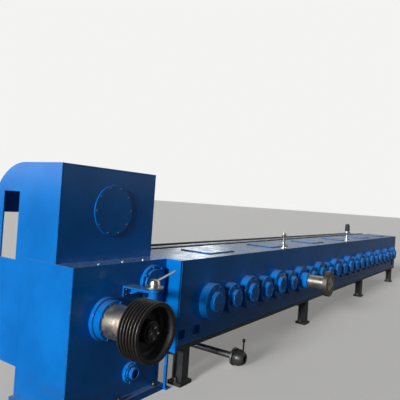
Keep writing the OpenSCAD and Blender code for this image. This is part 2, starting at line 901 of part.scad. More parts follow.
// Dark beam along the working side on posts, for the splash covers to hang on.
module cover_beam() {
    pitch = (trough_x1 - wall_t - trough_x0 - beam_w) / bays_n;
    y0 = trough_y1 - beam_w;
    color(DARK) {
        block([trough_x0, y0, beam_z - beam_h], [trough_x1 - wall_t, trough_y1, beam_z]);
        for (i = [0:bays_n])
            translate([trough_x0 + i * pitch, y0, case_z + outer_wall_h])
                cube([beam_w, beam_w, beam_z - beam_h - case_z - outer_wall_h + eps]);
    }
}

// Drawing capstans: a hard steel ring with a flange at the back, on a hub.
module draw_capstans() {
    w = capstan_w;
    rt = capstan_d / 2 - capstan_flange;
    rh = capstan_hub_d / 2;
    dish = w * 0.42;
    color(RING)
        for (x = main_shafts)
            along_y([x, wire_y + w / 2, shaft_z])
                rotate_extrude($fn = 128)
                    polygon([
                        [0, 0], [rh, 0], [rh, dish], [rt - 42, dish], [rt - 24, 0], [rt, 0],
                        [rt, w - 16], [rt + capstan_flange, w - 6], [rt + capstan_flange, w],
                        [0, w]
                    ]);
}

module capstan_shafts() {
    back = wire_y - capstan_w / 2;
    color(STEEL)
        for (x = main_shafts)
            along_y([x, back, shaft_z])
                cylinder(d = shaft_d, h = back - case_y1);
}

module shaft_seals() {
    color(STEEL)
        for (x = main_shafts)
            ring_y(x, part_y1 + seal_t, shaft_z, seal_d, shaft_d + 2 * wall_clear, seal_t, 2);
}

// A die holder before each capstan and one before the take-off wheels. Each
// stands on the partition wall and has a round-bottomed seat, open at the top.
module die_holders() {
    color(STEEL)
        for (x = die_stations)
            translate([x, 0, wire_z])
                difference() {
                    union() {
                        block([-die_len / 2, part_y1, -die_h / 2],
                              [die_len / 2, wire_y + die_reach, die_h / 2]);
                        block([-die_len / 2 - die_flange_lip, part_y1, -die_h / 2],
                              [die_len / 2 + die_flange_lip, part_y1 + die_flange_t, die_h / 2]);
                    }
                    translate([0, wire_y, 0])
                        rotate([0, 90, 0])
                            cylinder(d = die_seat, h = die_len + 2, center = true);
                    translate([-die_len / 2 - 1, wire_y - die_seat / 2, 0])
                        cube([die_len + 2, die_seat, die_h]);
                }
}

// Two rails along the whole bed, one under the gear case's front and one under
// the trough's outer edge.
module bed_rails() {
    color(DARK)
        for (y = [case_y0 + 12, trough_y1 - bed_rail_w - 12])
            block([case_x0 + end_plate_t, y, rail_z],
                  [case_x1 - end_plate_t, y + bed_rail_w, case_z]);
}

// Pedestal: two posts on foot plates, joined by a cross beam under the rails.
module pedestal(x) {
    w = post_w / 2;
    color(DARK)
        difference() {
            union() {
                for (y = [front_post_y, rear_post_y]) {
                    block([x - w, y, foot_plate_t], [x + w, y + post_d, cross_z + eps]);
                    block([x - w - foot_plate_lip, y - foot_plate_lip / 2, 0],
                          [x + w + foot_plate_lip, y + post_d + foot_plate_lip / 2, foot_plate_t + eps]);
                }
                block([x - w, front_post_y, cross_z], [x + w, rear_post_y + post_d, rail_z]);
            }
            for (y = [front_post_y, rear_post_y], s = [-1, 1])
                translate([x + s * (w + foot_plate_lip / 2), y + post_d / 2, -1])
                    cylinder(d = pedestal_anchor_d, h = foot_plate_t + 2, $fn = 32);
        }
}

module pedestal_1() {
    pedestal(pedestals[0]);
}

module pedestal_2() {
    pedestal(pedestals[1]);
}

module pedestal_3() {
    pedestal(pedestals[2]);
}

module pedestal_4() {
    pedestal(pedestals[3]);
}

// Thin leg under the end plate, beside the gearbox's foot flange.
module end_leg() {
    y = -foot_y - leg_d * 0.75;
    color(BLUE) {
        block([case_x0, y, 0], [case_x0 + end_plate_t, y + leg_d, case_z - end_plate_lip]);
        block([case_x0, y - leg_d / 2, 0],
              [case_x0 + leg_foot_len, y + leg_d * 1.5, leg_foot_t]);
    }
}

// Drain pipe from the trough's floor down and forward under the gear case, with
// the flange at its front.
drain_flange_y = case_y0 - drain_reach;
valve_y0 = drain_flange_y - valve_len;
module drain_pipe() {
    yb = wire_y - drain_bend;
    x = case_x0 + drain_x;
    color(STEEL)
        union() {
            along_y([x, yb, drain_z])
                cylinder(d = drain_d, h = yb - drain_flange_y - 1);
            disc_y(x, drain_flange_y + drain_flange_t, drain_z, drain_flange_d,
                   drain_flange_t, 2);
        }
}

module drain_riser() {
    zb = drain_z + drain_bend;
    color(STEEL)
        translate([case_x0 + drain_x, wire_y, zb]) {
            translate([0, -drain_bend, 0])
                rotate([0, 90, 0])
                    rotate_extrude(angle = 90)
                        translate([drain_bend, 0])
                            circle(d = drain_d, $fn = 48);
            cylinder(d = drain_d, h = case_z - zb);
        }
}

// Shut valve in front of the flange: a turned body, open at its front, with an
// upright rod and knob.
module drain_valve() {
    x = case_x0 + drain_x;
    len = valve_len;
    r = valve_body_d / 2;
    color(DARK)
        difference() {
            union() {
                along_y([x, drain_flange_y, drain_z])
                    rotate_extrude()
                        polygon([
                            [0, 0], [r * 0.84, 0], [r, len * 0.08], [r, len * 0.46],
                            [r * 0.8, len * 0.82], [r * 0.62, len], [0, len]
                        ]);
                translate([x, drain_flange_y - len * 0.78, drain_z]) {
                    translate([0, 0, drain_d * 0.6])
                        cylinder(d = 16, h = valve_rod_h - drain_d * 0.6 - 2);
                    translate([0, 0, valve_rod_h - 28])
                        cylinder(d = 27, h = 28);
                }
            }
            along_y([x, valve_y0 + drain_mouth, drain_z])
                cylinder(d = drain_d - 2 * drain_wall, h = drain_mouth + 1);
        }
}

// Half profile of the grooved pulley, from its outer face at 0 to its back.
groove_floor_w = groove_w - 2 * groove_depth * tan(18);
groove_start = (pulley_w - belt_grooves * groove_pitch) / 2 + groove_pitch / 2;
groove_points = [for (i = [0:belt_grooves - 1], k = [0:3])
    let (
        y = groove_start + i * groove_pitch,
        half = (k == 0 || k == 3) ? groove_w / 2 : groove_floor_w / 2,
        r = (k == 0 || k == 3) ? pulley_d / 2 : pulley_d / 2 - groove_depth
    )
    [r, y + (k < 2 ? -half : half)]];
module belt_pulley() {
    ro = pulley_d / 2;
    ri = ro - groove_depth - pulley_rim;
    rh = pulley_hub_d / 2;
    hub0 = pulley_dish - pulley_hub_out;
    color(IRON)
        translate([-pulley_off, pulley_y0, pulley_z])
            rotate([-90, 0, 0])
                rotate_extrude($fn = 128)
                    polygon(concat(
                        [[0, hub0], [rh - 6, hub0], [rh, hub0 + 10], [rh, pulley_dish],
                         [ri - 16, pulley_dish], [ri - 4, pulley_dish - 14], [ri, 8], [ri + 6, 0],
                         [ro - 3, 0], [ro, 3]],
                        groove_points,
                        [[ro, pulley_w], [ri, pulley_w], [ri, pulley_dish + pulley_web],
                         [0, pulley_dish + pulley_web]]
                    ));
}

module pulley_shaft() {
    color(STEEL)
        along_y([-pulley_off, sleeve_y - 2, pulley_z])
            cylinder(d = pulley_shaft_d, h = sleeve_y - 2 - web_y1);
}

// Upright lever shaft with its disc and hub on the bracket, and the lever's bar.
module shift_lever() {
    r = lever_hub_d / 2;
    h = lever_disc_t + lever_hub_h;
    rt = lever_hub_top_d / 2;
    below = tube_rise + bracket_t + tube_len + shaft_stub;
    color(STEEL)
        translate([bracket_x, lever_y, bracket_z + tube_rise + seat_gap]) {
            rotate_extrude()
                polygon([
                    [0, -below], [lever_shaft_d / 2, -below], [lever_shaft_d / 2, 0],
                    [lever_disc_d / 2, 0], [lever_disc_d / 2, lever_disc_t],
                    [r, lever_disc_t], [r, lever_disc_t + 8], [rt, h - 4], [rt - 4, h], [0, h]
                ]);
            translate([0, 0, lever_disc_t + lever_hub_h * 0.6])
                rotate([0, 90 - lever_tilt, 0])
                    cylinder(d = lever_bar_d, h = lever_len, $fn = 32);
        }
}

takeoff_base();
takeoff_gearbox();
hood_end_plate();
hood_inner_plate();
hood_front_panel();
hood_gear_housing();
hood_cowl();
hood_round_cover();
chamber_floor();
takeoff_wheels();
takeoff_wheel_shafts();
sleeve_flange();
bearing_sleeve();
gearbox_caps();
shift_bracket();
gear_case();
gear_case_end_plates();
top_covers();
capstan_bearing_caps();
idler_bearing_caps();
input_bearing_housing();
oil_filler();
breather_pipe();
breather_cap();
trough_floor();
partition_wall();
partition_rail();
trough_outer_wall();
trough_far_wall();
cover_beam();
draw_capstans();
capstan_shafts();
shaft_seals();
die_holders();
pedestal_1();
pedestal_2();
pedestal_3();
pedestal_4();
end_leg();
bed_rails();
drain_pipe();
drain_riser();
drain_valve();
belt_pulley();
pulley_shaft();
input_coupling();
shift_lever();
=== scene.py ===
"""Looks of a multi-pass wire drawing machine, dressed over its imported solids.

Every length is in metres, in the frame of the solids: +X runs along the machine
from the take-off end, +Y towards the working side, +Z up.
"""

from __future__ import annotations

import json
import logging
import math
from dataclasses import dataclass
from enum import Enum
from typing import Any, Callable, Iterable, Optional, Sequence

import bmesh
import bpy
from mathutils import Matrix, Vector

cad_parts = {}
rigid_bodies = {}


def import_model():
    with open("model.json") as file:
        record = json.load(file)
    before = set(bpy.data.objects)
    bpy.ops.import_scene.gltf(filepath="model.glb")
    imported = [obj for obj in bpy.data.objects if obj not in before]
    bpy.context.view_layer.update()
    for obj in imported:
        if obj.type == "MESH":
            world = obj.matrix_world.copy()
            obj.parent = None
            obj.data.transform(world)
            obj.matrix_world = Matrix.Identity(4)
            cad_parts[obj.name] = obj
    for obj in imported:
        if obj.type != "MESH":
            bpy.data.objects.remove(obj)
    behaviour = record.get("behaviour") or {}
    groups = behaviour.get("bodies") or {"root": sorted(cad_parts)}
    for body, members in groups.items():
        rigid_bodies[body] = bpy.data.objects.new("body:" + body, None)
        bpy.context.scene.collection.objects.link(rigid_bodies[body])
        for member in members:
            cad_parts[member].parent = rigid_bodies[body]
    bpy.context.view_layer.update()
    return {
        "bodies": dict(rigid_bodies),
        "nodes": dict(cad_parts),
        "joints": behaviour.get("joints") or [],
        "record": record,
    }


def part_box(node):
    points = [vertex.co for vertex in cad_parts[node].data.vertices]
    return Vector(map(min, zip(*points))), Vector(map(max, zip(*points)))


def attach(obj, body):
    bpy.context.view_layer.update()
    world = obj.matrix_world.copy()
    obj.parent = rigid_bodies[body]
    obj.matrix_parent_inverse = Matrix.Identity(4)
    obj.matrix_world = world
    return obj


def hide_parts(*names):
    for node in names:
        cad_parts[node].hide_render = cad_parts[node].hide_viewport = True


LOG = logging.getLogger("wire_drawing_machine")
Point = tuple[float, float, float]
MACHINE = "machine"
PULLEY = "pulley"
COUPLING = "coupling"
LEVER = "lever"


# ---------------------------------------------------------------- node trees


class Sock:
    """A node's output that takes part in Python arithmetic."""

    def __init__(self, builder: "TreeBuilder", socket: bpy.types.NodeSocket) -> None:
        """Keep the socket and the builder that adds its Math nodes."""
        self.builder = builder
        self.socket = socket

    def _math(self, operation: str, first: Any, second: Any = None) -> "Sock":
        """Add one Math node.

        Args:
            operation: Name of the Math node's operation.
            first: Its first value or link.
            second: Its second value or link, if it has one.

        Returns:
            The node's result.
        """
        values = {0: first} if second is None else {0: first, 1: second}
        node = self.builder.add("ShaderNodeMath", {"operation": operation}, values)
        return self.builder.out(node)

    def __add__(self, other: Any) -> "Sock":
        """Sum."""
        return self._math("ADD", self, other)

    def __radd__(self, other: Any) -> "Sock":
        """Sum, reflected."""
        return self._math("ADD", other, self)

    def __sub__(self, other: Any) -> "Sock":
        """Difference."""
        return self._math("SUBTRACT", self, other)

    def __rsub__(self, other: Any) -> "Sock":
        """Difference, reflected."""
        return self._math("SUBTRACT", other, self)

    def __mul__(self, other: Any) -> "Sock":
        """Product."""
        return self._math("MULTIPLY", self, other)

    def __rmul__(self, other: Any) -> "Sock":
        """Product, reflected."""
        return self._math("MULTIPLY", other, self)

    def __truediv__(self, other: Any) -> "Sock":
        """Quotient."""
        return self._math("DIVIDE", self, other)

    def __rtruediv__(self, other: Any) -> "Sock":
        """Quotient, reflected."""
        return self._math("DIVIDE", other, self)

    def __pow__(self, other: Any) -> "Sock":
        """Power."""
        return self._math("POWER", self, other)

    def __abs__(self) -> "Sock":
        """Absolute value."""
        return self._math("ABSOLUTE", self)

    def at_least(self, other: Any) -> "Sock":
        """Larger of two values."""
        return self._math("MAXIMUM", self, other)

    def at_most(self, other: Any) -> "Sock":
        """Smaller of two values."""
        return self._math("MINIMUM", self, other)

    def root(self) -> "Sock":
        """Square root."""
        return self._math("SQRT", self)

    def span(self, low: float, high: float) -> "Sock":
        """Rise smoothly from 0 at low to 1 at high.

        Args:
            low: Value that gives 0.
            high: Value that gives 1.

        Returns:
            The clamped result.
        """
        values = {"Value": self, "From Min": low, "From Max": high}
        settings = {"interpolation_type": "SMOOTHSTEP"}
        node = self.builder.add("ShaderNodeMapRange", settings, values)
        return self.builder.out(node, "Result")


class TreeBuilder:
    """Adds nodes to one tree, each from its type, settings and values."""

    def __init__(self, tree: bpy.types.NodeTree) -> None:
        """Empty the tree and keep it."""
        self.tree = tree
        tree.nodes.clear()

    def add(
        self,
        kind: str,
        settings: Optional[dict[str, Any]] = None,
        values: Optional[dict[Any, Any]] = None,
    ) -> bpy.types.Node:
        """Add one node.

        Args:
            kind: The node's type name.
            settings: Its properties, or a ramp's stops, which are set first.
            values: Values or links of its sockets, by name or number.

        Returns:
            The node.
        """
        node = self.tree.nodes.new(kind)
        for key, value in (settings or {}).items():
            if key == "stops":
                self._stops(node, value)
            else:
                setattr(node, key, value)
        for key, value in (values or {}).items():
            socket = self._input(node, key)
            if isinstance(value, Sock):
                self.tree.links.new(value.socket, socket)
            else:
                socket.default_value = value
        return node

    @staticmethod
    def _stops(node: bpy.types.Node, stops: Sequence[tuple[float, Sequence[float]]]) -> None:
        """Set a ramp's stops.

        Args:
            node: The ramp node.
            stops: Place and colour of each stop, in order.
        """
        elements = node.color_ramp.elements
        while len(elements) < len(stops):
            elements.new(1.0)
        for element, (place, colour) in zip(elements, stops):
            element.position = place
            element.color = (*colour, 1.0) if len(colour) == 3 else tuple(colour)

    @staticmethod
    def _input(node: bpy.types.Node, key: Any) -> bpy.types.NodeSocket:
        """Find an input in use, by number or name.

        Args:
            node: The node.
            key: The input's number, or its name.

        Returns:
            The socket.
        """
        if isinstance(key, int):
            return node.inputs[key]
        found = [s for s in node.inputs if s.name == key and s.enabled]
        if not found:
            raise KeyError(f"{node.bl_idname} has no input {key}")
        return found[0]

    def out(self, node: bpy.types.Node, key: Any = 0) -> Sock:
        """Wrap a node's output.

        Args:
            node: The node.
            key: The output's number, or its name.

        Returns:
            The wrapped socket.
        """
        if isinstance(key, int):
            return Sock(self, node.outputs[key])
        found = [s for s in node.outputs if s.name == key and s.enabled]
        return Sock(self, found[0])

    def join(self, x: Any, y: Any, z: Any) -> Sock:
        """Make a vector of three values."""
        return self.out(self.add("ShaderNodeCombineXYZ", None, {0: x, 1: y, 2: z}))

    def parts(self, vector: Sock) -> tuple[Sock, Sock, Sock]:
        """Take a vector apart.

        Args:
            vector: The vector.

        Returns:
            Its three values.
        """
        node = self.add("ShaderNodeSeparateXYZ", None, {0: vector})
        return self.out(node, 0), self.out(node, 1), self.out(node, 2)

    def vector(self, operation: str, first: Any, second: Any = None) -> Sock:
        """Add one Vector Math node.

        Args:
            operation: Name of the node's operation.
            first: Its first vector.
            second: Its second vector, if it has one.

        Returns:
            The resulting vector.
        """
        values = {0: first} if second is None else {0: first, 1: second}
        return self.out(self.add("ShaderNodeVectorMath", {"operation": operation}, values))

    def noise(
        self, place: Any, scale: float, detail: float = 2.0, rough: float = 0.5, bend: float = 0.0
    ) -> Sock:
        """Add a noise texture.

        Args:
            place: Where it is read.
            scale: Features per metre.
            detail: Number of finer layers.
            rough: How strong the finer layers are.
            bend: How far it is distorted.

        Returns:
            Its value, about 0.5 on average.
        """
        values = {
            "Vector": place,
            "Scale": scale,
            "Detail": detail,
            "Roughness": rough,
            "Distortion": bend,
        }
        return self.out(self.add("ShaderNodeTexNoise", None, values), 0)

    def tint(self, factor: Any, first: Any, second: Any, mode: str = "MIX") -> Sock:
        """Mix two colours.

        Args:
            factor: Share of the second colour.
            first: First colour, as a link or three numbers.
            second: Second colour, as a link or three numbers.
            mode: How they are blended.

        Returns:
            The colour.
        """
        settings = {"data_type": "RGBA", "blend_type": mode, "clamp_factor": True}
        values = {"Factor": factor, "A": _rgba(first), "B": _rgba(second)}
        return self.out(self.add("ShaderNodeMix", settings, values), "Result")


def _rgba(colour: Any) -> Any:
    """Give three numbers their fourth, and leave a link as it is."""
    return colour if isinstance(colour, Sock) else (*colour, 1.0)


# ------------------------------------------------------------------ finishes


@dataclass(frozen=True)
class Surface:
    """What a shader may read of a surface: its place and its normal."""

    builder: TreeBuilder
    place: Sock
    normal: Sock

    def axes(self) -> tuple[Sock, Sock, Sock]:
        """Place along X, Y and Z."""
        return self.builder.parts(self.place)

    def faces(self) -> tuple[Sock, Sock, Sock]:
        """Normal along X, Y and Z."""
        return self.builder.parts(self.normal)


@dataclass(frozen=True)
class Finish:
    """A finish of the machine, and the record's slot that it stands for."""

    name: str
    slot: str

    def shade(self, surface: Surface) -> dict[str, Any]:
        """Values and links of the shader's sockets."""
        raise NotImplementedError

    def bumps(self, surface: Surface) -> list[tuple[Sock, float, float]]:
        """Relief as height, strength and distance, coarse first."""
        return []

    def material(self) -> bpy.types.Material:
        """Build the material, or find it if it was built before.

        Returns:
            The material.
        """
        found = bpy.data.materials.get(self.name)
        if found is not None:
            return found
        material = bpy.data.materials.new(self.name)
        material.use_nodes = True
        builder = TreeBuilder(material.node_tree)
        place = builder.out(builder.add("ShaderNodeTexCoord"), "Object")
        normal = builder.out(builder.add("ShaderNodeNewGeometry"), "Normal")
        surface = Surface(builder, place, normal)
        values = self.shade(surface)
        chain: Optional[Sock] = None
        for height, strength, distance in self.bumps(surface):
            inputs: dict[str, Any] = {
                "Strength": strength,
                "Distance": distance,
                "Height": height,
            }
            if chain is not None:
                inputs["Normal"] = chain
            chain = builder.out(builder.add("ShaderNodeBump", None, inputs))
        if chain is not None:
            values["Normal"] = chain
        shader = builder.out(builder.add("ShaderNodeBsdfPrincipled", None, values))
        builder.add("ShaderNodeOutputMaterial", None, {"Surface": shader})
        return material


@dataclass(frozen=True)
class Enamel(Finish):
    """Brushed and sprayed machine enamel with dust, runs, and lighter edges that are partly rubbed
    paint and partly a painted highlight.
    """

    colour: Point = (0.0008, 0.172, 0.60)
    rough: float = 0.14
    dust: float = 0.60
    grime: float = 0.5
    # Share of lighter blue on the edges: partly rubbed paint, partly a painted highlight.
    edges: float = 0.18
    sheen: float = 0.24

    def shade(self, surface: Surface) -> dict[str, Any]:
        """Colour and gloss of the enamel.

        Args:
            surface: Place and normal of the surface.

        Returns:
            The shader's values.
        """
        b = surface.builder
        _, _, z = surface.axes()
        nx, ny, nz = surface.faces()
        x, y, _ = surface.axes()
        deep = tuple(c * 0.84 for c in self.colour)
        pale = (self.colour[0] + 0.002, self.colour[1] * 1.12, min(1.0, self.colour[2] * 1.08))
        clouds = b.noise(surface.place, 2.1, 5.0, 0.55)
        base = b.tint(clouds.span(0.30, 0.72), deep, pale)
        runs = b.noise(b.join(x * 34.0, y * 34.0, z * 1.3), 1.0, 3.0, 0.6)
        upright = 1.0 - abs(nz).span(0.25, 0.7)
        base = b.tint(runs.span(0.55, 0.80) * upright * 0.22, base, deep)
        mottle = b.noise(surface.place, 55.0, 3.0, 0.6)
        base = b.tint(mottle.span(0.52, 0.78) * 0.12, base, pale)
        low = 1.0 - z.span(0.02, 0.34)
        soil = b.noise(surface.place, 9.0, 6.0, 0.62)
        base = b.tint(
            low * soil.span(0.35, 0.7) * self.grime, base, (0.055, 0.050, 0.042)
        )
        settled = nz.span(0.55, 0.95) * (0.60 + 0.40 * soil.span(0.30, 0.68))
        base = b.tint(settled * self.dust, base, (0.19, 0.195, 0.20))
        # Lighter blue on bevelled edges: partly rubbed paint, partly a painted highlight where the
        # edges catch the light.
        largest = abs(nx).at_least(abs(ny)).at_least(abs(nz))
        edge_band = (1.0 - largest).span(0.012, 0.10)
        wear_and_highlight = edge_band * b.noise(surface.place, 42.0, 4.0, 0.7).span(0.50, 0.66) * self.edges
        base = b.tint(wear_and_highlight, base, (0.22, 0.40, 0.66))
        rough = self.rough + 0.10 * soil.span(0.25, 0.8) + 0.17 * settled * self.dust
        return {
            "Base Color": base,
            "Roughness": rough,
            "Specular IOR Level": self.sheen,
        }

    def bumps(self, surface: Surface) -> list[tuple[Sock, float, float]]:
        """Sheet waviness and orange peel.

        Args:
            surface: Place and normal of the surface.

        Returns:
            The relief.
        """
        b = surface.builder
        wave = b.noise(surface.place, 5.5, 1.0, 0.4)
        peel = b.noise(surface.place, 420.0, 2.0, 0.5)
        return [(wave, 0.10, 0.006), (peel, 0.10, 0.0006)]


@dataclass(frozen=True)
class TurnedSteel(Finish):
    """Bare steel turned round an axis along Y, with tool marks and tarnish."""

    axis_x: float = 0.0
    axis_z: float = 0.0
    pitch: float = 0.0
    colour: Point = (0.50, 0.475, 0.44)
    stain: Point = (0.12, 0.072, 0.035)
    stained: float = 0.5
    rough: float = 0.24
    upright: bool = False
    dull_from: float = 9.0
    rings: float = 0.0

    def _turn(self, surface: Surface) -> tuple[Sock, Sock]:
        """Distance from the axis and place along it.

        Args:
            surface: Place and normal of the surface.

        Returns:
            The two values.
        """
        x, y, z = surface.axes()
        across = x - self.axis_x
        if self.pitch > 0.0:
            b = surface.builder
            settings = {"operation": "WRAP"}
            values = {0: across, 1: self.pitch / 2, 2: -self.pitch / 2}
            across = b.out(b.add("ShaderNodeMath", settings, values))
        if self.upright:
            deep = y - self.axis_z
            return (across * across + deep * deep).root(), z
        rise = z - self.axis_z
        return (across * across + rise * rise).root(), y

    def shade(self, surface: Surface) -> dict[str, Any]:
        """Colour and gloss of the steel.

        Args:
            surface: Place and normal of the surface.

        Returns:
            The shader's values.
        """
        b = surface.builder
        radius, along = self._turn(surface)
        marks = b.noise(b.join(radius * 900.0, along * 700.0, 0.0), 1.0, 2.0, 0.6)
        bands = b.noise(b.join(radius * 60.0, along * 45.0, 3.0), 1.0, 3.0, 0.6)
        film = b.noise(surface.place, 11.0, 6.0, 0.62, 0.4)
        spots = b.noise(surface.place, 130.0, 3.0, 0.7)
        dark = tuple(c * 0.66 for c in self.colour)
        base = b.tint(bands.span(0.35, 0.70) * 0.5, self.colour, dark)
        worked = b.noise(b.join(along * 26.0, radius * 9.0, 7.0), 1.0, 3.0, 0.6)
        film = film * (1.0 - 0.5 * self.rings) + worked * (0.5 * self.rings)
        brown = (film.span(0.42, 0.70) * 0.75 + spots.span(0.62, 0.74) * 0.5) * self.stained
        base = b.tint(brown, base, self.stain)
        dull = radius.span(self.dull_from, self.dull_from + 0.006)
        base = b.tint(dull * 0.80, base, (0.050, 0.047, 0.042))
        rough = self.rough + 0.13 * marks + 0.24 * brown.at_most(1.0) + 0.14 * dull
        metal = 1.0 - 0.55 * brown.at_most(1.0)
        return {"Base Color": base, "Roughness": rough, "Metallic": metal}

    def bumps(self, surface: Surface) -> list[tuple[Sock, float, float]]:
        """Fine tool marks.

        Args:
            surface: Place and normal of the surface.

        Returns:
            The relief.
        """
        b = surface.builder
        radius, along = self._turn(surface)
        marks = b.noise(b.join(radius * 520.0, along * 520.0, 0.0), 1.0, 2.0, 0.6)
        return [(marks, 0.12, 0.0005)]


@dataclass(frozen=True)
class PlainSteel(Finish):
    """Bare steel without a grain: zinc plated screws, rails and pipes."""

    colour: Point = (0.56, 0.56, 0.55)
    rough: float = 0.30
    spots: float = 0.3
    metal: float = 1.0

    def shade(self, surface: Surface) -> dict[str, Any]:
        """Colour and gloss of the metal.

        Args:
            surface: Place and normal of the surface.

        Returns:
            The shader's values.
        """
        b = surface.builder
        film = b.noise(surface.place, 34.0, 5.0, 0.6)
        grain = b.noise(surface.place, 600.0, 2.0, 0.6)
        dark = tuple(c * 0.55 for c in self.colour)
        base = b.tint(film.span(0.35, 0.75) * 0.6, self.colour, dark)
        rust = b.noise(surface.place, 90.0, 5.0, 0.68).span(0.60, 0.72) * self.spots
        base = b.tint(rust, base, (0.10, 0.055, 0.028))
        rough = self.rough + 0.12 * grain + 0.30 * rust
        return {"Base Color": base, "Roughness": rough, "Metallic": self.metal - 0.8 * rust}

    def bumps(self, surface: Surface) -> list[tuple[Sock, float, float]]:
        """Fine grain."""
        grain = surface.builder.noise(surface.place, 900.0, 2.0, 0.6)
        return [(grain, 0.10, 0.0003)]


@dataclass(frozen=True)
class DarkIron(Finish):
    """Blackened cast iron of the belt pulley, rubbed bare on its lands, with a painted highlight on
    the inner walls of its dish.
    """

    axis_x: float = 0.0
    axis_z: float = 0.0
    land_r: float = 0.2
    colour: Point = (0.010, 0.0105, 0.010)

    def _radius(self, surface: Surface) -> Sock:
        """Distance from the pulley's axis."""
        x, _, z = surface.axes()
        across = x - self.axis_x
        rise = z - self.axis_z
        return (across * across + rise * rise).root()

    def shade(self, surface: Surface) -> dict[str, Any]:
        """Colour and gloss of the iron.

        Args:
            surface: Place and normal of the surface.

        Returns:
            The shader's values.
        """
        b = surface.builder
        _, ny, _ = surface.faces()
        radius = self._radius(surface)
        soot = b.noise(surface.place, 16.0, 5.0, 0.6)
        base = b.tint(soot.span(0.3, 0.7), self.colour, (0.022, 0.020, 0.018))
        scuffs = b.noise(surface.place, 70.0, 4.0, 0.7).span(0.42, 0.66)
        land = radius.span(self.land_r - 0.0035, self.land_r - 0.0012)
        land = land * (0.35 + 0.65 * scuffs)
        base = b.tint(land * 0.65, base, (0.20, 0.18, 0.155))
        # Lighter grey on the inner walls of the rim and hub: a painted highlight standing for light
        # falling into the dish.
        wall = radius.span(0.10, 0.12) * (1.0 - radius.span(self.land_r - 0.036, self.land_r - 0.030))
        wall = wall * (1.0 - abs(ny).span(0.35, 0.75))
        base = b.tint(wall * 0.6, base, (0.11, 0.11, 0.115))
        rust = b.noise(surface.place, 28.0, 6.0, 0.66).span(0.54, 0.74)
        base = b.tint(rust * 0.4 * (1.0 - land), base, (0.050, 0.028, 0.018))
        rough = 0.46 - 0.14 * land + 0.2 * rust
        return {"Base Color": base, "Roughness": rough, "Metallic": 0.25 + 0.6 * land}

    def bumps(self, surface: Surface) -> list[tuple[Sock, float, float]]:
        """Turned and cast relief.

        Args:
            surface: Place and normal of the surface.

        Returns:
            The relief.
        """
        b = surface.builder
        _, y, _ = surface.axes()
        marks = b.noise(b.join(self._radius(surface) * 420.0, y * 420.0, 0.0), 1.0, 2.0, 0.6)
        cast = b.noise(surface.place, 210.0, 3.0, 0.6)
        return [(cast, 0.14, 0.0014), (marks, 0.14, 0.0007)]


@dataclass(frozen=True)
class SatinPaint(Finish):
    """Dark satin paint of the supports, dusty and chipped near the floor."""

    colour: Point = (0.014, 0.015, 0.017)
    dust_colour: Point = (0.075, 0.070, 0.062)
    rough: float = 0.52
    metal: float = 0.0

    def shade(self, surface: Surface) -> dict[str, Any]:
        """Colour and gloss of the paint.

        Args:
            surface: Place and normal of the surface.

        Returns:
            The shader's values.
        """
        b = surface.builder
        _, _, z = surface.axes()
        _, _, nz = surface.faces()
        clouds = b.noise(surface.place, 7.0, 5.0, 0.6)
        pale = tuple(c * 1.7 + 0.006 for c in self.colour)
        base = b.tint(clouds.span(0.3, 0.75), self.colour, pale)
        low = 1.0 - z.span(0.0, 0.22)
        dust = (nz.span(0.4, 0.9) * 0.65 + low * 0.35) * clouds.span(0.25, 0.65)
        base = b.tint(dust * 0.8, base, self.dust_colour)
        chips = b.noise(surface.place, 85.0, 4.0, 0.7).span(0.66, 0.70)
        base = b.tint(chips * 0.7, base, (0.16, 0.12, 0.09))
        rough = self.rough + 0.25 * dust
        return {"Base Color": base, "Roughness": rough, "Metallic": self.metal}

    def bumps(self, surface: Surface) -> list[tuple[Sock, float, float]]:
        """Mill scale under the paint."""
        scale = surface.builder.noise(surface.place, 160.0, 4.0, 0.6)
        return [(scale, 0.12, 0.001)]


@dataclass(frozen=True)
class Moulded(Finish):
    """Moulded black plastic and rubber."""

    colour: Point = (0.012, 0.012, 0.013)
    rough: float = 0.42

    def shade(self, surface: Surface) -> dict[str, Any]:
        """Colour and gloss of the moulding.

        Args:
            surface: Place and normal of the surface.

        Returns:
            The shader's values.
        """
        b = surface.builder
        _, _, nz = surface.faces()
        haze = b.noise(surface.place, 40.0, 4.0, 0.6)
        base = b.tint(haze.span(0.3, 0.8), self.colour, tuple(c * 2.2 for c in self.colour))
        base = b.tint(nz.span(0.5, 0.95) * haze.span(0.3, 0.6) * 0.5, base, (0.14, 0.14, 0.14))
        return {"Base Color": base, "Roughness": self.rough + 0.2 * haze}

    def bumps(self, surface: Surface) -> list[tuple[Sock, float, float]]:
        """Spark-eroded grain of the mould."""
        grain = surface.builder.noise(surface.place, 700.0, 2.0, 0.6)
        return [(grain, 0.15, 0.0004)]


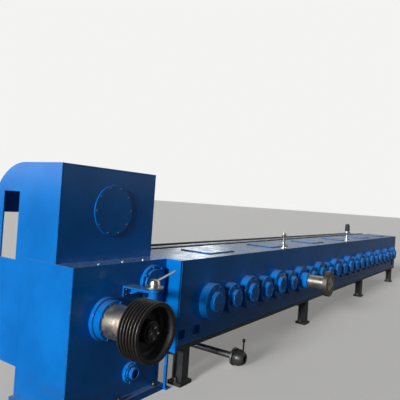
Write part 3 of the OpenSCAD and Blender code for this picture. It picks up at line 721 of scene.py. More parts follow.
@dataclass(frozen=True)
class Palette:
    """The finishes of this machine."""

    blue: Enamel = Enamel("blue_enamel", "blue_paint")
    blue_round: Enamel = Enamel("blue_enamel_turned", "blue_paint", edges=0.0, dust=0.25, rough=0.17)
    blue_head: Enamel = Enamel(
        "blue_enamel_screws", "blue_paint", edges=0.0, grime=0.2, dust=0.2, rough=0.20
    )
    zinc: PlainSteel = PlainSteel("zinc_screws", "bare_steel", (0.74, 0.74, 0.73), 0.26, 0.04)
    black_screw: PlainSteel = PlainSteel(
        "blackened_screws", "bare_steel", (0.06, 0.058, 0.055), 0.34, 0.4
    )
    rail: PlainSteel = PlainSteel("ground_rail", "bare_steel", (0.92, 0.90, 0.85), 0.26, 0.08, 1.0)
    pipe: PlainSteel = PlainSteel("pipe_steel", "bare_steel", (0.34, 0.34, 0.34), 0.36, 0.5)
    weld: PlainSteel = PlainSteel("weld", "bare_steel", (0.20, 0.19, 0.18), 0.45, 0.4)
    supports: SatinPaint = SatinPaint("support_paint", "dark_paint")
    valve: SatinPaint = SatinPaint(
        "valve_paint", "dark_paint", (0.060, 0.060, 0.062), (0.17, 0.155, 0.13), 0.34, 0.6
    )
    dark_zinc: PlainSteel = PlainSteel(
        "dull_screws", "bare_steel", (0.34, 0.34, 0.33), 0.30, 0.1
    )
    # Dark moulding for gaskets, also used as painted shade in gaps.
    gasket: Moulded = Moulded("gasket", "dark_paint", (0.010, 0.010, 0.011), 0.6)
    plastic: Moulded = Moulded("black_plastic", "black_plastic")
    hard_ring: PlainSteel = PlainSteel("hard_ring", "hard_ring", (0.66, 0.66, 0.65), 0.20, 0.15)


PAINT = Palette()


# ------------------------------------------------------------- mesh workshop


class Facing(Enum):
    """Side that a fastener's head looks to, as turns in degrees."""

    UP = (0.0, 0.0, 0.0)
    DOWN = (180.0, 0.0, 0.0)
    FRONT = (90.0, 0.0, 0.0)
    BACK = (-90.0, 0.0, 0.0)
    END = (0.0, -90.0, 0.0)
    FAR = (0.0, 90.0, 0.0)

    @property
    def turn(self) -> Point:
        """The turns in radians."""
        x, y, z = self.value
        return (math.radians(x), math.radians(y), math.radians(z))

    def matrix(self, place: Sequence[float]) -> Matrix:
        """Matrix that turns a piece and puts it at a place.

        Args:
            place: Where the piece's origin goes.

        Returns:
            The matrix.
        """
        from_x, from_y, from_z = self.turn
        turn = Matrix.Rotation(from_z, 4, "Z") @ Matrix.Rotation(from_y, 4, "Y")
        return Matrix.Translation(place) @ turn @ Matrix.Rotation(from_x, 4, "X")


class Section(Enum):
    """Outline of one level of a small revolved solid."""

    ROUND = "round"
    HEXAGON = "hexagon"


Level = tuple[Section, float, float]


class HeadShape(Enum):
    """Fastener heads as levels of unit width and height, from the seat up."""

    SOCKET = (
        (Section.ROUND, 0.5, 0.0),
        (Section.ROUND, 0.5, 0.86),
        (Section.ROUND, 0.45, 1.0),
        (Section.HEXAGON, 0.29, 1.0),
        (Section.HEXAGON, 0.29, 0.40),
        (Section.ROUND, 0.0, 0.36),
    )
    HEX_BOLT = (
        (Section.ROUND, 0.5, 0.0),
        (Section.ROUND, 0.5, 0.16),
        (Section.HEXAGON, 0.455, 0.16),
        (Section.HEXAGON, 0.455, 0.84),
        (Section.ROUND, 0.36, 1.0),
        (Section.ROUND, 0.0, 1.0),
    )
    STUD_NUT = (
        (Section.ROUND, 0.5, 0.0),
        (Section.ROUND, 0.5, 0.10),
        (Section.HEXAGON, 0.42, 0.10),
        (Section.HEXAGON, 0.42, 0.52),
        (Section.ROUND, 0.33, 0.60),
        (Section.ROUND, 0.21, 0.60),
        (Section.ROUND, 0.21, 0.95),
        (Section.ROUND, 0.17, 1.0),
        (Section.ROUND, 0.0, 1.0),
    )
    BUTTON = (
        (Section.ROUND, 0.5, 0.0),
        (Section.ROUND, 0.49, 0.32),
        (Section.ROUND, 0.40, 0.74),
        (Section.ROUND, 0.27, 0.96),
        (Section.HEXAGON, 0.19, 0.98),
        (Section.HEXAGON, 0.19, 0.45),
        (Section.ROUND, 0.0, 0.42),
    )
    PLUG = (
        (Section.ROUND, 0.5, 0.0),
        (Section.ROUND, 0.5, 0.30),
        (Section.ROUND, 0.46, 0.36),
        (Section.HEXAGON, 0.36, 0.36),
        (Section.HEXAGON, 0.36, 0.92),
        (Section.ROUND, 0.30, 1.0),
        (Section.ROUND, 0.0, 1.0),
    )


def level_solid(levels: Sequence[Level], samples: int = 24) -> bmesh.types.BMesh:
    """Loft a closed solid through levels along Z.

    Args:
        levels: Section, radius and height of each level; a radius of 0 ends it.
        samples: Points round each level, a multiple of 6.

    Returns:
        The solid.
    """
    bm = bmesh.new()
    rings: list[list[bmesh.types.BMVert]] = []
    for section, radius, height in levels:
        if radius <= 0.0:
            rings.append([bm.verts.new((0.0, 0.0, height))])
            continue
        ring = []
        for i in range(samples):
            angle = 2.0 * math.pi * i / samples
            reach = radius
            if section is Section.HEXAGON:
                off = (angle % (math.pi / 3)) - math.pi / 6
                reach = radius * math.cos(math.pi / 6) / math.cos(off)
            ring.append(bm.verts.new((reach * math.cos(angle), reach * math.sin(angle), height)))
        rings.append(ring)
    if len(rings[0]) > 1:
        bm.faces.new(list(reversed(rings[0])))
    if len(rings[-1]) > 1:
        bm.faces.new(rings[-1])
    for low, high in zip(rings, rings[1:]):
        for i in range(samples):
            j = (i + 1) % samples
            if len(high) == 1:
                bm.faces.new((low[i], low[j], high[0]))
            elif len(low) == 1:
                bm.faces.new((low[0], high[j], high[i]))
            else:
                bm.faces.new((low[i], low[j], high[j], high[i]))
    return bm


def lathe(profile: Sequence[tuple[float, float]], samples: int = 96) -> bmesh.types.BMesh:
    """Revolve a profile of radius and height round Z into a closed solid.

    Args:
        profile: Points from the seat up.
        samples: Points round it.

    Returns:
        The solid.
    """
    return level_solid([(Section.ROUND, r, z) for r, z in profile], samples)


def tube_ring(outer: float, inner: float, low: float, high: float, edge: float, samples: int = 96
              ) -> bmesh.types.BMesh:
    """Make a ring with a chamfered outer edge, round Z.

    Args:
        outer: Outer radius.
        inner: Inner radius.
        low: Height of its seat.
        high: Height of its top.
        edge: Size of the chamfer.
        samples: Points round it.

    Returns:
        The ring.
    """
    profile = [
        (inner, low), (outer, low), (outer, high - edge), (outer - edge, high),
        (inner + edge * 0.6, high), (inner, high - edge * 0.6),
    ]
    bm = bmesh.new()
    rings = []
    for radius, height in profile:
        turn = [2.0 * math.pi * i / samples for i in range(samples)]
        rings.append([
            bm.verts.new((radius * math.cos(a), radius * math.sin(a), height)) for a in turn
        ])
    for k, low_ring in enumerate(rings):
        high_ring = rings[(k + 1) % len(rings)]
        for i in range(samples):
            j = (i + 1) % samples
            bm.faces.new((low_ring[i], low_ring[j], high_ring[j], high_ring[i]))
    return bm


def block(low: Sequence[float], high: Sequence[float], edge: float = 0.0) -> bmesh.types.BMesh:
    """Make a block between two corners, with rounded edges.

    Args:
        low: Lowest corner.
        high: Highest corner.
        edge: Radius of the edges.

    Returns:
        The block.
    """
    bm = bmesh.new()
    bmesh.ops.create_cube(bm, size=1.0)
    size = [h - l for l, h in zip(low, high)]
    centre = [(h + l) / 2 for l, h in zip(low, high)]
    for vert in bm.verts:
        vert.co = Vector([c + s * v for c, s, v in zip(centre, size, vert.co)])
    if edge > 0.0:
        bmesh.ops.bevel(
            bm, geom=list(bm.edges), offset=edge, segments=2, affect="EDGES", profile=0.6
        )
    return bm


def frame_strip(
    low: Sequence[float], high: Sequence[float], width: float
) -> bmesh.types.BMesh:
    """Make a flat rectangular frame between two corners.

    Args:
        low: Lowest corner of its outside.
        high: Highest corner of its outside.
        width: Width of the strip.

    Returns:
        The frame.
    """
    bm = bmesh.new()
    x0, y0, z0 = low
    x1, y1, z1 = high
    outer = [(x0, y0), (x1, y0), (x1, y1), (x0, y1)]
    w = width
    inner = [(x0 + w, y0 + w), (x1 - w, y0 + w), (x1 - w, y1 - w), (x0 + w, y1 - w)]
    rings = [
        [bm.verts.new((px, py, z0)) for px, py in outer],
        [bm.verts.new((px, py, z1)) for px, py in outer],
        [bm.verts.new((px, py, z1)) for px, py in inner],
        [bm.verts.new((px, py, z0)) for px, py in inner],
    ]
    for k, ring in enumerate(rings):
        following = rings[(k + 1) % 4]
        for i in range(4):
            j = (i + 1) % 4
            bm.faces.new((ring[i], ring[j], following[j], following[i]))
    return bm


class Shop:
    """Hands each piece its mesh, body and finish."""

    def __init__(self, frame: dict[str, Any]) -> None:
        """Keep the frame and learn which body each node rides on."""
        self.frame = frame
        self.templates: dict[HeadShape, bpy.types.Object] = {}
        self.bodies: dict[str, str] = {}
        for body, names in frame["record"]["behaviour"]["bodies"].items():
            for name in names:
                self.bodies[name] = body

    @staticmethod
    def box(node: str) -> tuple[Vector, Vector]:
        """Lowest and highest corner of a node of the solids."""
        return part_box(node)

    def add(
        self,
        name: str,
        source: bmesh.types.BMesh | bpy.types.Mesh,
        finish: Finish,
        body: str,
        stands_for: Sequence[str] = (),
        smooth: Optional[float] = 32.0,
    ) -> bpy.types.Object:
        """Make one piece.

        Args:
            name: Name of the piece.
            source: Its mesh, in place.
            finish: Its finish.
            body: Body that it rides on.
            stands_for: Nodes that it replaces.
            smooth: Angle in degrees above which an edge stays sharp, or
                None where the mesh has its normals already.

        Returns:
            The piece.
        """
        if isinstance(source, bmesh.types.BMesh):
            bmesh.ops.recalc_face_normals(source, faces=source.faces)
            mesh = bpy.data.meshes.new(name)
            source.to_mesh(mesh)
            source.free()
        else:
            mesh = source
        mesh.name = name
        if smooth is not None:
            mesh.shade_smooth()
            mesh.set_sharp_from_angle(angle=math.radians(smooth))
        mesh.materials.clear()
        mesh.materials.append(finish.material())
        piece = bpy.data.objects.new(name, mesh)
        bpy.context.scene.collection.objects.link(piece)
        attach(piece, body)
        if stands_for:
            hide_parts(*stands_for)
        LOG.info("%s: %d faces on %s", name, len(mesh.polygons), body)
        return piece

    def merge(self, parts: Iterable[bmesh.types.BMesh]) -> bmesh.types.BMesh:
        """Put several meshes into one.

        Args:
            parts: The meshes, which are used up.

        Returns:
            The joined mesh.
        """
        joined = bmesh.new()
        for part in parts:
            bmesh.ops.recalc_face_normals(part, faces=part.faces)
            mesh = bpy.data.meshes.new("part")
            part.to_mesh(mesh)
            part.free()
            joined.from_mesh(mesh)
            bpy.data.meshes.remove(mesh)
        return joined

    def soften(
        self, node: str, finish: Finish, width: float, segments: int = 2, angle: float = 32.0
    ) -> bpy.types.Object:
        """Stand a copy of a node's solid in its place, with rounded edges.

        Args:
            node: The node.
            finish: The copy's finish.
            width: Radius of the edges.
            segments: Faces across each edge.
            angle: Angle in degrees from which an edge is rounded.

        Returns:
            The piece.
        """
        mesh = self.frame["nodes"][node].data.copy()
        bm = bmesh.new()
        bm.from_mesh(mesh)
        bmesh.ops.remove_doubles(bm, verts=bm.verts, dist=1e-5)
        bmesh.ops.dissolve_limit(
            bm, angle_limit=math.radians(0.6), verts=bm.verts, edges=bm.edges
        )
        bm.to_mesh(mesh)
        bm.free()
        rough = bpy.data.objects.new(node + "_rough", mesh)
        bpy.context.scene.collection.objects.link(rough)
        bevel = rough.modifiers.new("edges", "BEVEL")
        bevel.width = width
        bevel.segments = segments
        bevel.limit_method = "ANGLE"
        bevel.angle_limit = math.radians(angle)
        bevel.miter_outer = "MITER_ARC"
        bevel.harden_normals = False
        bevelled = plain_copy(rough)
        bevelled.shade_smooth()
        bevelled.set_sharp_from_angle(angle=math.radians(50.0))
        rough.modifiers.clear()
        rough.data = bevelled
        weighted = rough.modifiers.new("normals", "WEIGHTED_NORMAL")
        weighted.mode = "FACE_AREA"
        weighted.weight = 100
        weighted.keep_sharp = True
        finished = plain_copy(rough)
        bpy.data.objects.remove(rough)
        return self.add(
            "dressed_" + node, finished, finish, self.bodies[node], (node,), smooth=None
        )

    def head(self, shape: HeadShape) -> bpy.types.Object:
        """Find or make the template of a fastener's head.

        Args:
            shape: The head.

        Returns:
            Its template, which is removed at the end.
        """
        if shape not in self.templates:
            bm = level_solid(shape.value, 12 if shape is HeadShape.BUTTON else 24)
            mesh = bpy.data.meshes.new("head_" + shape.name.lower())
            bm.to_mesh(mesh)
            bm.free()
            mesh.shade_smooth()
            mesh.set_sharp_from_angle(angle=math.radians(28))
            template = bpy.data.objects.new(mesh.name, mesh)
            bpy.context.scene.collection.objects.link(template)
            self.templates[shape] = template
        return self.templates[shape]

    def close(self) -> None:
        """Remove the templates."""
        for template in self.templates.values():
            bpy.data.objects.remove(template)
        self.templates.clear()


def plain_copy(source: bpy.types.Object) -> bpy.types.Mesh:
    """Turn an object with modifiers into a plain mesh.

    Args:
        source: The object.

    Returns:
        Its evaluated mesh.
    """
    bpy.context.view_layer.update()
    depsgraph = bpy.context.evaluated_depsgraph_get()
    return bpy.data.meshes.new_from_object(source.evaluated_get(depsgraph))


# ------------------------------------------------------------ geometry nodes


@dataclass(frozen=True)
class TreeInput:
    """A named input of a geometry tree."""

    name: str
    kind: str


class GeometryTree:
    """A geometry tree with named inputs, built once and used many times."""

    def __init__(
        self,
        name: str,
        inputs: Sequence[TreeInput],
        build: Callable[[TreeBuilder, dict[str, Sock]], Sock],
    ) -> None:
        """Build the tree.

        Args:
            name: Its name.
            inputs: Its named inputs, after the geometry itself.
            build: What makes its nodes and gives back the last geometry.
        """
        self.tree = bpy.data.node_groups.new(name, "GeometryNodeTree")
        face = self.tree.interface
        face.new_socket(name="Geometry", in_out="INPUT", socket_type="NodeSocketGeometry")
        self.keys: dict[str, str] = {}
        for item in inputs:
            socket = face.new_socket(name=item.name, in_out="INPUT", socket_type=item.kind)
            self.keys[item.name] = socket.identifier
        face.new_socket(name="Geometry", in_out="OUTPUT", socket_type="NodeSocketGeometry")
        builder = TreeBuilder(self.tree)
        start = builder.add("NodeGroupInput")
        given = {item.name: builder.out(start, item.name) for item in inputs}
        given["Geometry"] = builder.out(start, "Geometry")
        result = build(builder, given)
        result = builder.out(
            builder.add("GeometryNodeRealizeInstances", None, {"Geometry": result})
        )
        values = {"Geometry": result, "Material": given["Finish"]}
        result = builder.out(builder.add("GeometryNodeSetMaterial", None, values))
        builder.add("NodeGroupOutput", None, {0: result})

    def run(self, name: str, mesh: bpy.types.Mesh, values: dict[str, Any]) -> bpy.types.Mesh:
        """Run the tree on a mesh.

        Args:
            name: Name for the result.
            mesh: The points or edges that it starts from.
            values: Its inputs by name.

        Returns:
            The plain mesh.
        """
        holder = bpy.data.objects.new(name + "_points", mesh)
        bpy.context.scene.collection.objects.link(holder)
        modifier = holder.modifiers.new(name, "NODES")
        modifier.node_group = self.tree
        for key, value in values.items():
            modifier[self.keys[key]] = value
        result = plain_copy(holder)
        holder.modifiers.remove(modifier)
        bpy.data.objects.remove(holder)
        return result


FLOAT = "NodeSocketFloat"
WHOLE = "NodeSocketInt"
TURN = "NodeSocketVector"
OBJECT = "NodeSocketObject"
MATERIAL = "NodeSocketMaterial"


def _heads(b: TreeBuilder, given: dict[str, Sock], points: Sock, turn: Any) -> Sock:
    """Put heads on points, each turned a little differently about its own axis.

    Args:
        b: The builder.
        given: The tree's inputs.
        points: Where the heads go.
        turn: Turn of all the heads, or None.

    Returns:
        The instances.
    """
    info = b.add("GeometryNodeObjectInfo", {"transform_space": "ORIGINAL"}, {"Object": given["Head"]})
    size = b.join(given["Head Diameter"], given["Head Diameter"], given["Head Height"])
    inputs: dict[str, Any] = {
        "Points": points,
        "Instance": b.out(info, "Geometry"),
        "Scale": size,
    }
    if turn is not None:
        inputs["Rotation"] = turn
    placed = b.out(b.add("GeometryNodeInstanceOnPoints", None, inputs))
    wild = b.add(
        "FunctionNodeRandomValue",
        {"data_type": "FLOAT"},
        {"Min": 0.0, "Max": 6.283, "Seed": given["Seed"]},
    )
    own = b.join(0.0, 0.0, b.out(wild, "Value"))
    values = {"Instances": placed, "Rotation": own, "Local Space": True}
    return b.out(b.add("GeometryNodeRotateInstances", None, values))


def _bolt_circles(b: TreeBuilder, given: dict[str, Sock]) -> Sock:
    """Bolt circles on points.

    Args:
        b: The builder.
        given: The tree's inputs.

    Returns:
        The geometry.
    """
    values = {"Vertices": given["Count"], "Radius": given["Circle Diameter"] * 0.5}
    circle = b.out(b.add("GeometryNodeMeshCircle", None, values))
    heads = _heads(b, given, circle, None)
    first = b.join(0.0, 0.0, given["First Angle"])
    moved = b.out(b.add("GeometryNodeTransform", None, {"Geometry": heads, "Rotation": first}))
    values = {"Points": given["Geometry"], "Instance": moved, "Rotation": given["Facing"]}
    return b.out(b.add("GeometryNodeInstanceOnPoints", None, values))


def _single_heads(b: TreeBuilder, given: dict[str, Sock]) -> Sock:
    """One head on each point."""
    return _heads(b, given, given["Geometry"], given["Facing"])


def _screw_rows(b: TreeBuilder, given: dict[str, Sock]) -> Sock:
    """Heads at even distances along edges.

    Args:
        b: The builder.
        given: The tree's inputs.

    Returns:
        The geometry.
    """
    line = b.out(b.add("GeometryNodeMeshToCurve", None, {"Mesh": given["Geometry"]}))
    node = b.add("GeometryNodeResampleCurve", None, {"Curve": line})
    mode = [s for s in node.inputs if s.name == "Mode"]
    if mode:
        mode[0].default_value = "Length"
    else:
        node.mode = "LENGTH"
    b.tree.links.new(given["Spacing"].socket, TreeBuilder._input(node, "Length"))
    return _heads(b, given, b.out(node), given["Facing"])


def _weld_beads(b: TreeBuilder, given: dict[str, Sock]) -> Sock:
    """Rippled weld beads along edges.

    Args:
        b: The builder.
        given: The tree's inputs.

    Returns:
        The geometry.
    """
    line = b.out(b.add("GeometryNodeMeshToCurve", None, {"Mesh": given["Geometry"]}))
    node = b.add("GeometryNodeResampleCurve", None, {"Curve": line})
    mode = [s for s in node.inputs if s.name == "Mode"]
    if mode:
        mode[0].default_value = "Length"
    else:
        node.mode = "LENGTH"
    b.tree.links.new(given["Ripple"].socket, TreeBuilder._input(node, "Length"))
    wild = b.add(
        "FunctionNodeRandomValue",
        {"data_type": "FLOAT"},
        {"Min": 0.78, "Max": 1.12, "Seed": given["Seed"]},
    )
    ring = b.out(b.add("GeometryNodeCurvePrimitiveCircle", None, {"Resolution": 8, "Radius": 1.0}))
    values = {
        "Curve": b.out(node),
        "Profile Curve": ring,
        "Scale": given["Bead Radius"] * b.out(wild, "Value"),
        "Fill Caps": True,
    }
    mesh = b.out(b.add("GeometryNodeCurveToMesh", None, values))
    return b.out(b.add("GeometryNodeSetShadeSmooth", None, {"Geometry": mesh}))


class Fasteners:
    """The trees for screws, bolt circles and weld beads, and what they make."""

    def __init__(self, shop: Shop) -> None:
        """Build the trees."""
        self.shop = shop
        head = [
            TreeInput("Facing", TURN),
            TreeInput("Head", OBJECT),
            TreeInput("Head Diameter", FLOAT),
            TreeInput("Head Height", FLOAT),
            TreeInput("Finish", MATERIAL),
            TreeInput("Seed", WHOLE),
        ]
        circle = [
            TreeInput("Count", WHOLE),
            TreeInput("Circle Diameter", FLOAT),
            TreeInput("First Angle", FLOAT),
        ]
        self.circles = GeometryTree("bolt_circles", [*circle, *head], _bolt_circles)
        self.singles = GeometryTree("single_heads", head, _single_heads)
        self.rows = GeometryTree("screw_rows", [TreeInput("Spacing", FLOAT), *head], _screw_rows)
        bead = [
            TreeInput("Ripple", FLOAT),
            TreeInput("Bead Radius", FLOAT),
            TreeInput("Finish", MATERIAL),
            TreeInput("Seed", WHOLE),
        ]
        self.beads = GeometryTree("weld_beads", bead, _weld_beads)
        self.seed = 3

    def _values(
        self, facing: Facing, shape: HeadShape, width: float, height: float, finish: Finish
    ) -> dict[str, Any]:
        """Inputs that every tree with heads has.

        Args:
            facing: Side that the heads look to.
            shape: The head.
            width: Its width.
            height: Its height.
            finish: Its finish.

        Returns:
            The inputs by name.
        """
        self.seed += 7
        return {
            "Facing": facing.turn,
            "Head": self.shop.head(shape),
            "Head Diameter": width,
            "Head Height": height,
            "Finish": finish.material(),
            "Seed": self.seed,
        }

    def circle(
        self,
        name: str,
        centres: Sequence[Point],
        facing: Facing,
        count: int,
        diameter: float,
        head: tuple[HeadShape, float, float],
        finish: Finish,
        body: str = MACHINE,
        first: float = 0.0,
    ) -> bpy.types.Object:
        """Make like bolt circles at several places.

        Args:
            name: Name of the piece.
            centres: Centres of the circles, on the face.
            facing: Side that the heads look to.
            count: Heads in a circle.
            diameter: Diameter of the circle.
            head: Shape, width and height of a head.
            finish: Its finish.
            body: Body that it rides on.
            first: Angle of the first head, in degrees.

        Returns:
            The piece.
        """
        shape, width, height = head
        values = self._values(facing, shape, width, height, finish)
        values["Count"] = count
        values["Circle Diameter"] = diameter
        values["First Angle"] = math.radians(first)
        mesh = self.circles.run(name, points_mesh(centres), values)
        return self._finish(name, mesh, finish, body)

    def single(
        self,
        name: str,
        places: Sequence[Point],
        facing: Facing,
        head: tuple[HeadShape, float, float],
        finish: Finish,
        body: str = MACHINE,
    ) -> bpy.types.Object:
        """Make like heads at several places.

        Args:
            name: Name of the piece.
            places: Where the heads stand.
            facing: Side that they look to.
            head: Shape, width and height of a head.
            finish: Its finish.
            body: Body that it rides on.

        Returns:
            The piece.
        """
        shape, width, height = head
        values = self._values(facing, shape, width, height, finish)
        mesh = self.singles.run(name, points_mesh(places), values)
        return self._finish(name, mesh, finish, body)

    def row(
        self,
        name: str,
        lines: Sequence[Sequence[Point]],
        facing: Facing,
        spacing: float,
        head: tuple[HeadShape, float, float],
        finish: Finish,
        body: str = MACHINE,
    ) -> bpy.types.Object:
        """Make rows of heads along lines.

        Args:
            name: Name of the piece.
            lines: The lines, each as its points.
            facing: Side that the heads look to.
            spacing: Distance between heads.
            head: Shape, width and height of a head.
            finish: Its finish.
            body: Body that it rides on.

        Returns:
            The piece.
        """
        shape, width, height = head
        values = self._values(facing, shape, width, height, finish)
        values["Spacing"] = spacing
        mesh = self.rows.run(name, lines_mesh(lines), values)
        return self._finish(name, mesh, finish, body)

    def weld(
        self,
        name: str,
        lines: Sequence[Sequence[Point]],
        radius: float,
        finish: Finish,
        body: str = MACHINE,
        ripple: float = 0.008,
    ) -> bpy.types.Object:
        """Lay weld beads along lines.

        Args:
            name: Name of the piece.
            lines: The lines, each as its points.
            radius: Radius of the bead.
            finish: Its finish.
            body: Body that it rides on.
            ripple: Distance between ripples.

        Returns:
            The piece.
        """
        self.seed += 7
        values = {
            "Ripple": ripple,
            "Bead Radius": radius,
            "Finish": finish.material(),
            "Seed": self.seed,
        }
        mesh = self.beads.run(name, lines_mesh(lines), values)
        return self._finish(name, mesh, finish, body, 60.0)

    def _finish(
        self, name: str, mesh: bpy.types.Mesh, finish: Finish, body: str, smooth: float = 28.0
    ) -> bpy.types.Object:
        """Make a piece of a tree's result."""
        return self.shop.add(name, mesh, finish, body, smooth=smooth)


def points_mesh(places: Sequence[Point]) -> bpy.types.Mesh:
    """Make a mesh of points.

    Args:
        places: The points.

    Returns:
        The mesh.
    """
    mesh = bpy.data.meshes.new("points")
    mesh.from_pydata([tuple(p) for p in places], [], [])
    return mesh


def lines_mesh(lines: Sequence[Sequence[Point]]) -> bpy.types.Mesh:
    """Make a mesh of edges along lines.

    Args:
        lines: The lines, each as its points.

    Returns:
        The mesh.
    """
    verts: list[Point] = []
    edges: list[tuple[int, int]] = []
    for line in lines:
        start = len(verts)
        verts.extend(tuple(p) for p in line)
        edges.extend((start + i, start + i + 1) for i in range(len(line) - 1))
    mesh = bpy.data.meshes.new("lines")
    mesh.from_pydata(verts, edges, [])
    return mesh


def loop_y(centre: Point, radius: float, steps: int = 48) -> list[Point]:
    """Points of a closed circle round an axis along Y.

    Args:
        centre: Its centre.
        radius: Its radius.
        steps: Number of points.

    Returns:
        The points, the first one repeated at the end.
    """
    x, y, z = centre
    turns = [2.0 * math.pi * i / steps for i in range(steps + 1)]
    return [(x + radius * math.cos(a), y, z + radius * math.sin(a)) for a in turns]


def loop_z(centre: Point, radius: float, steps: int = 32) -> list[Point]:
    """Points of a closed circle round an upright axis.

    Args:
        centre: Its centre.
        radius: Its radius.
        steps: Number of points.

    Returns:
        The points, the first one repeated at the end.
    """
    x, y, z = centre
    turns = [2.0 * math.pi * i / steps for i in range(steps + 1)]
    return [(x + radius * math.cos(a), y + radius * math.sin(a), z) for a in turns]


# ------------------------------------------------------------- sub-assemblies


@dataclass
class TakeoffGearbox:
    """Closed gearbox at the take-off end, on its bolted foot flange."""

    shop: Shop
    fasteners: Fasteners
    edge: float = 0.004
    anchor_x: float = 0.380
    anchor_y: float = 0.290
    washer_d: float = 0.044
    nut_h: float = 0.042
    ledge_screws: tuple[Point, ...] = (
        (-0.223, -0.228, 1.034),
        (0.010, -0.222, 1.034),
        (0.218, -0.231, 1.034),
        (0.437, -0.125, 1.034),
    )
    pump_pcd: float = 0.1385

    def build(self) -> None:
        """Dress the casing, its foot, caps and screws."""
        shop = self.shop
        shop.soften("takeoff_base", PAINT.blue, self.edge)
        shop.soften("takeoff_gearbox", PAINT.blue, 0.002)
        shop.soften("gearbox_caps", PAINT.blue_round, 0.0012)
        self._anchors()
        self._welds()
        self._screws()

    def _anchors(self) -> None:
        """Anchor nuts on the foot flange."""
        top = self.shop.box("takeoff_base")[1].z
        places = [
            (x, y, top)
            for x in (-self.anchor_x, 0.0, self.anchor_x)
            for y in (-self.anchor_y, self.anchor_y)
        ]
        head = (HeadShape.STUD_NUT, self.washer_d, self.nut_h)
        self.fasteners.single("gearbox_anchor_nuts", places, Facing.UP, head, PAINT.black_screw)

    def _welds(self) -> None:
        """Weld beads where the casing stands on its foot."""
        low, high = self.shop.box("takeoff_gearbox")
        z = low.z
        front = [(low.x + 0.01, low.y, z), (high.x - 0.01, low.y, z)]
        back = [(low.x + 0.01, high.y, z), (high.x - 0.01, high.y, z)]
        self.fasteners.weld("gearbox_foot_welds", [front, back], 0.0055, PAINT.blue_head)

    def _screws(self) -> None:
        """Screws on the ledge, the upper cap and the pump cover."""
        low, high = self.shop.box("gearbox_caps")
        face = self.shop.box("takeoff_gearbox")[0].y
        head = (HeadShape.HEX_BOLT, 0.017, 0.008)
        self.fasteners.single("ledge_screws", self.ledge_screws, Facing.UP, head, PAINT.zinc)
        upper = (high.x - 0.140, face - 0.026, high.z - 0.140)
        self.fasteners.circle(
            "upper_cap_screws", [upper], Facing.FRONT, 8, 0.249,
            (HeadShape.SOCKET, 0.018, 0.012), PAINT.blue_head, first=12.0,
        )
        pump = (0.123, face - 0.025, 0.220)
        self.fasteners.circle(
            "pump_cover_screws", [pump], Facing.FRONT, 6, self.pump_pcd,
            (HeadShape.SOCKET, 0.013, 0.008), PAINT.blue_head, first=15.0,
        )


@dataclass
class Hood:
    """Sheet hood over the take-off wheels, with its bolted round cover."""

    shop: Shop
    fasteners: Fasteners
    edge: float = 0.0018
    cover_x: float = 0.018
    cover_z: float = 1.396
    cover_pcd: float = 0.343
    cover_screws: int = 10

    def build(self) -> None:
        """Dress the plates, the cowl and the cover."""
        shop = self.shop
        for node in ("hood_end_plate", "hood_inner_plate", "hood_front_panel"):
            shop.soften(node, PAINT.blue, self.edge)
        shop.soften("hood_gear_housing", PAINT.blue, self.edge)
        shop.soften("hood_cowl", PAINT.blue, self.edge)
        shop.soften("hood_round_cover", PAINT.blue_round, 0.0012)
        shop.soften("chamber_floor", PAINT.blue, self.edge)
        self._cover()
        self._welds()

    def _cover(self) -> None:
        """Screws of the round cover."""
        face = self.shop.box("hood_round_cover")[0].y
        self.fasteners.circle(
            "hood_cover_screws", [(self.cover_x, face, self.cover_z)], Facing.FRONT,
            self.cover_screws, self.cover_pcd, (HeadShape.BUTTON, 0.011, 0.004),
            PAINT.dark_zinc,
        )

    def _welds(self) -> None:
        """Stitch welds along the foot of the hood's front panel."""
        low, high = self.shop.box("hood_front_panel")
        z = low.z
        lines = []
        count = 6
        pitch = (high.x - low.x) / count
        for i in range(count):
            x = low.x + pitch * (i + 0.3)
            lines.append([(x, low.y, z), (x + 0.05, low.y, z)])
        self.fasteners.weld("hood_foot_welds", lines, 0.0035, PAINT.blue_head)


@dataclass
class WheelChamber:
    """The two grooved take-off wheels in their chamber behind the gearbox."""

    shop: Shop
    fasteners: Fasteners
    wheel_x: float = 0.030
    lower_z: float = 0.660
    upper_z: float = 1.396

    def build(self) -> None:
        """Dress the wheels, their shafts and collars."""
        rings = TurnedSteel(
            "wheel_steel", "hard_ring", self.wheel_x, self.lower_z, 0.0,
            (0.56, 0.56, 0.54), (0.16, 0.11, 0.06), 0.25, 0.20,
        )
        self.shop.soften("takeoff_wheels", rings, 0.0012)
        self.shop.soften("takeoff_wheel_shafts", PAINT.pipe, 0.002)
        back = self.shop.box("takeoff_gearbox")[1].y + 0.032
        front = self.shop.box("takeoff_wheels")[1].y
        places = [(self.wheel_x, back, z) for z in (self.lower_z, self.upper_z)]
        self.fasteners.circle(
            "collar_bolts", places, Facing.BACK, 8, 0.200,
            (HeadShape.SOCKET, 0.018, 0.012), PAINT.zinc,
        )
        ends = [(self.wheel_x, front, z) for z in (self.lower_z, self.upper_z)]
        caps = self.shop.merge(self._end_cap(place) for place in ends)
        self.shop.add("wheel_end_caps", caps, PAINT.pipe, MACHINE)
        tops = [(x, y + 0.014, z) for x, y, z in ends]
        self.fasteners.circle(
            "wheel_end_bolts", tops, Facing.BACK, 6, 0.090,
            (HeadShape.SOCKET, 0.018, 0.012), PAINT.zinc,
        )

    @staticmethod
    def _end_cap(place: Point) -> bmesh.types.BMesh:
        """Clamping disc at the end of a wheel's shaft.

        Args:
            place: Centre of its seat.

        Returns:
            The disc.
        """
        bm = lathe([(0.060, 0.0), (0.060, 0.011), (0.057, 0.014), (0.0, 0.014)], 64)
        bm.transform(Facing.BACK.matrix(place))
        return bm


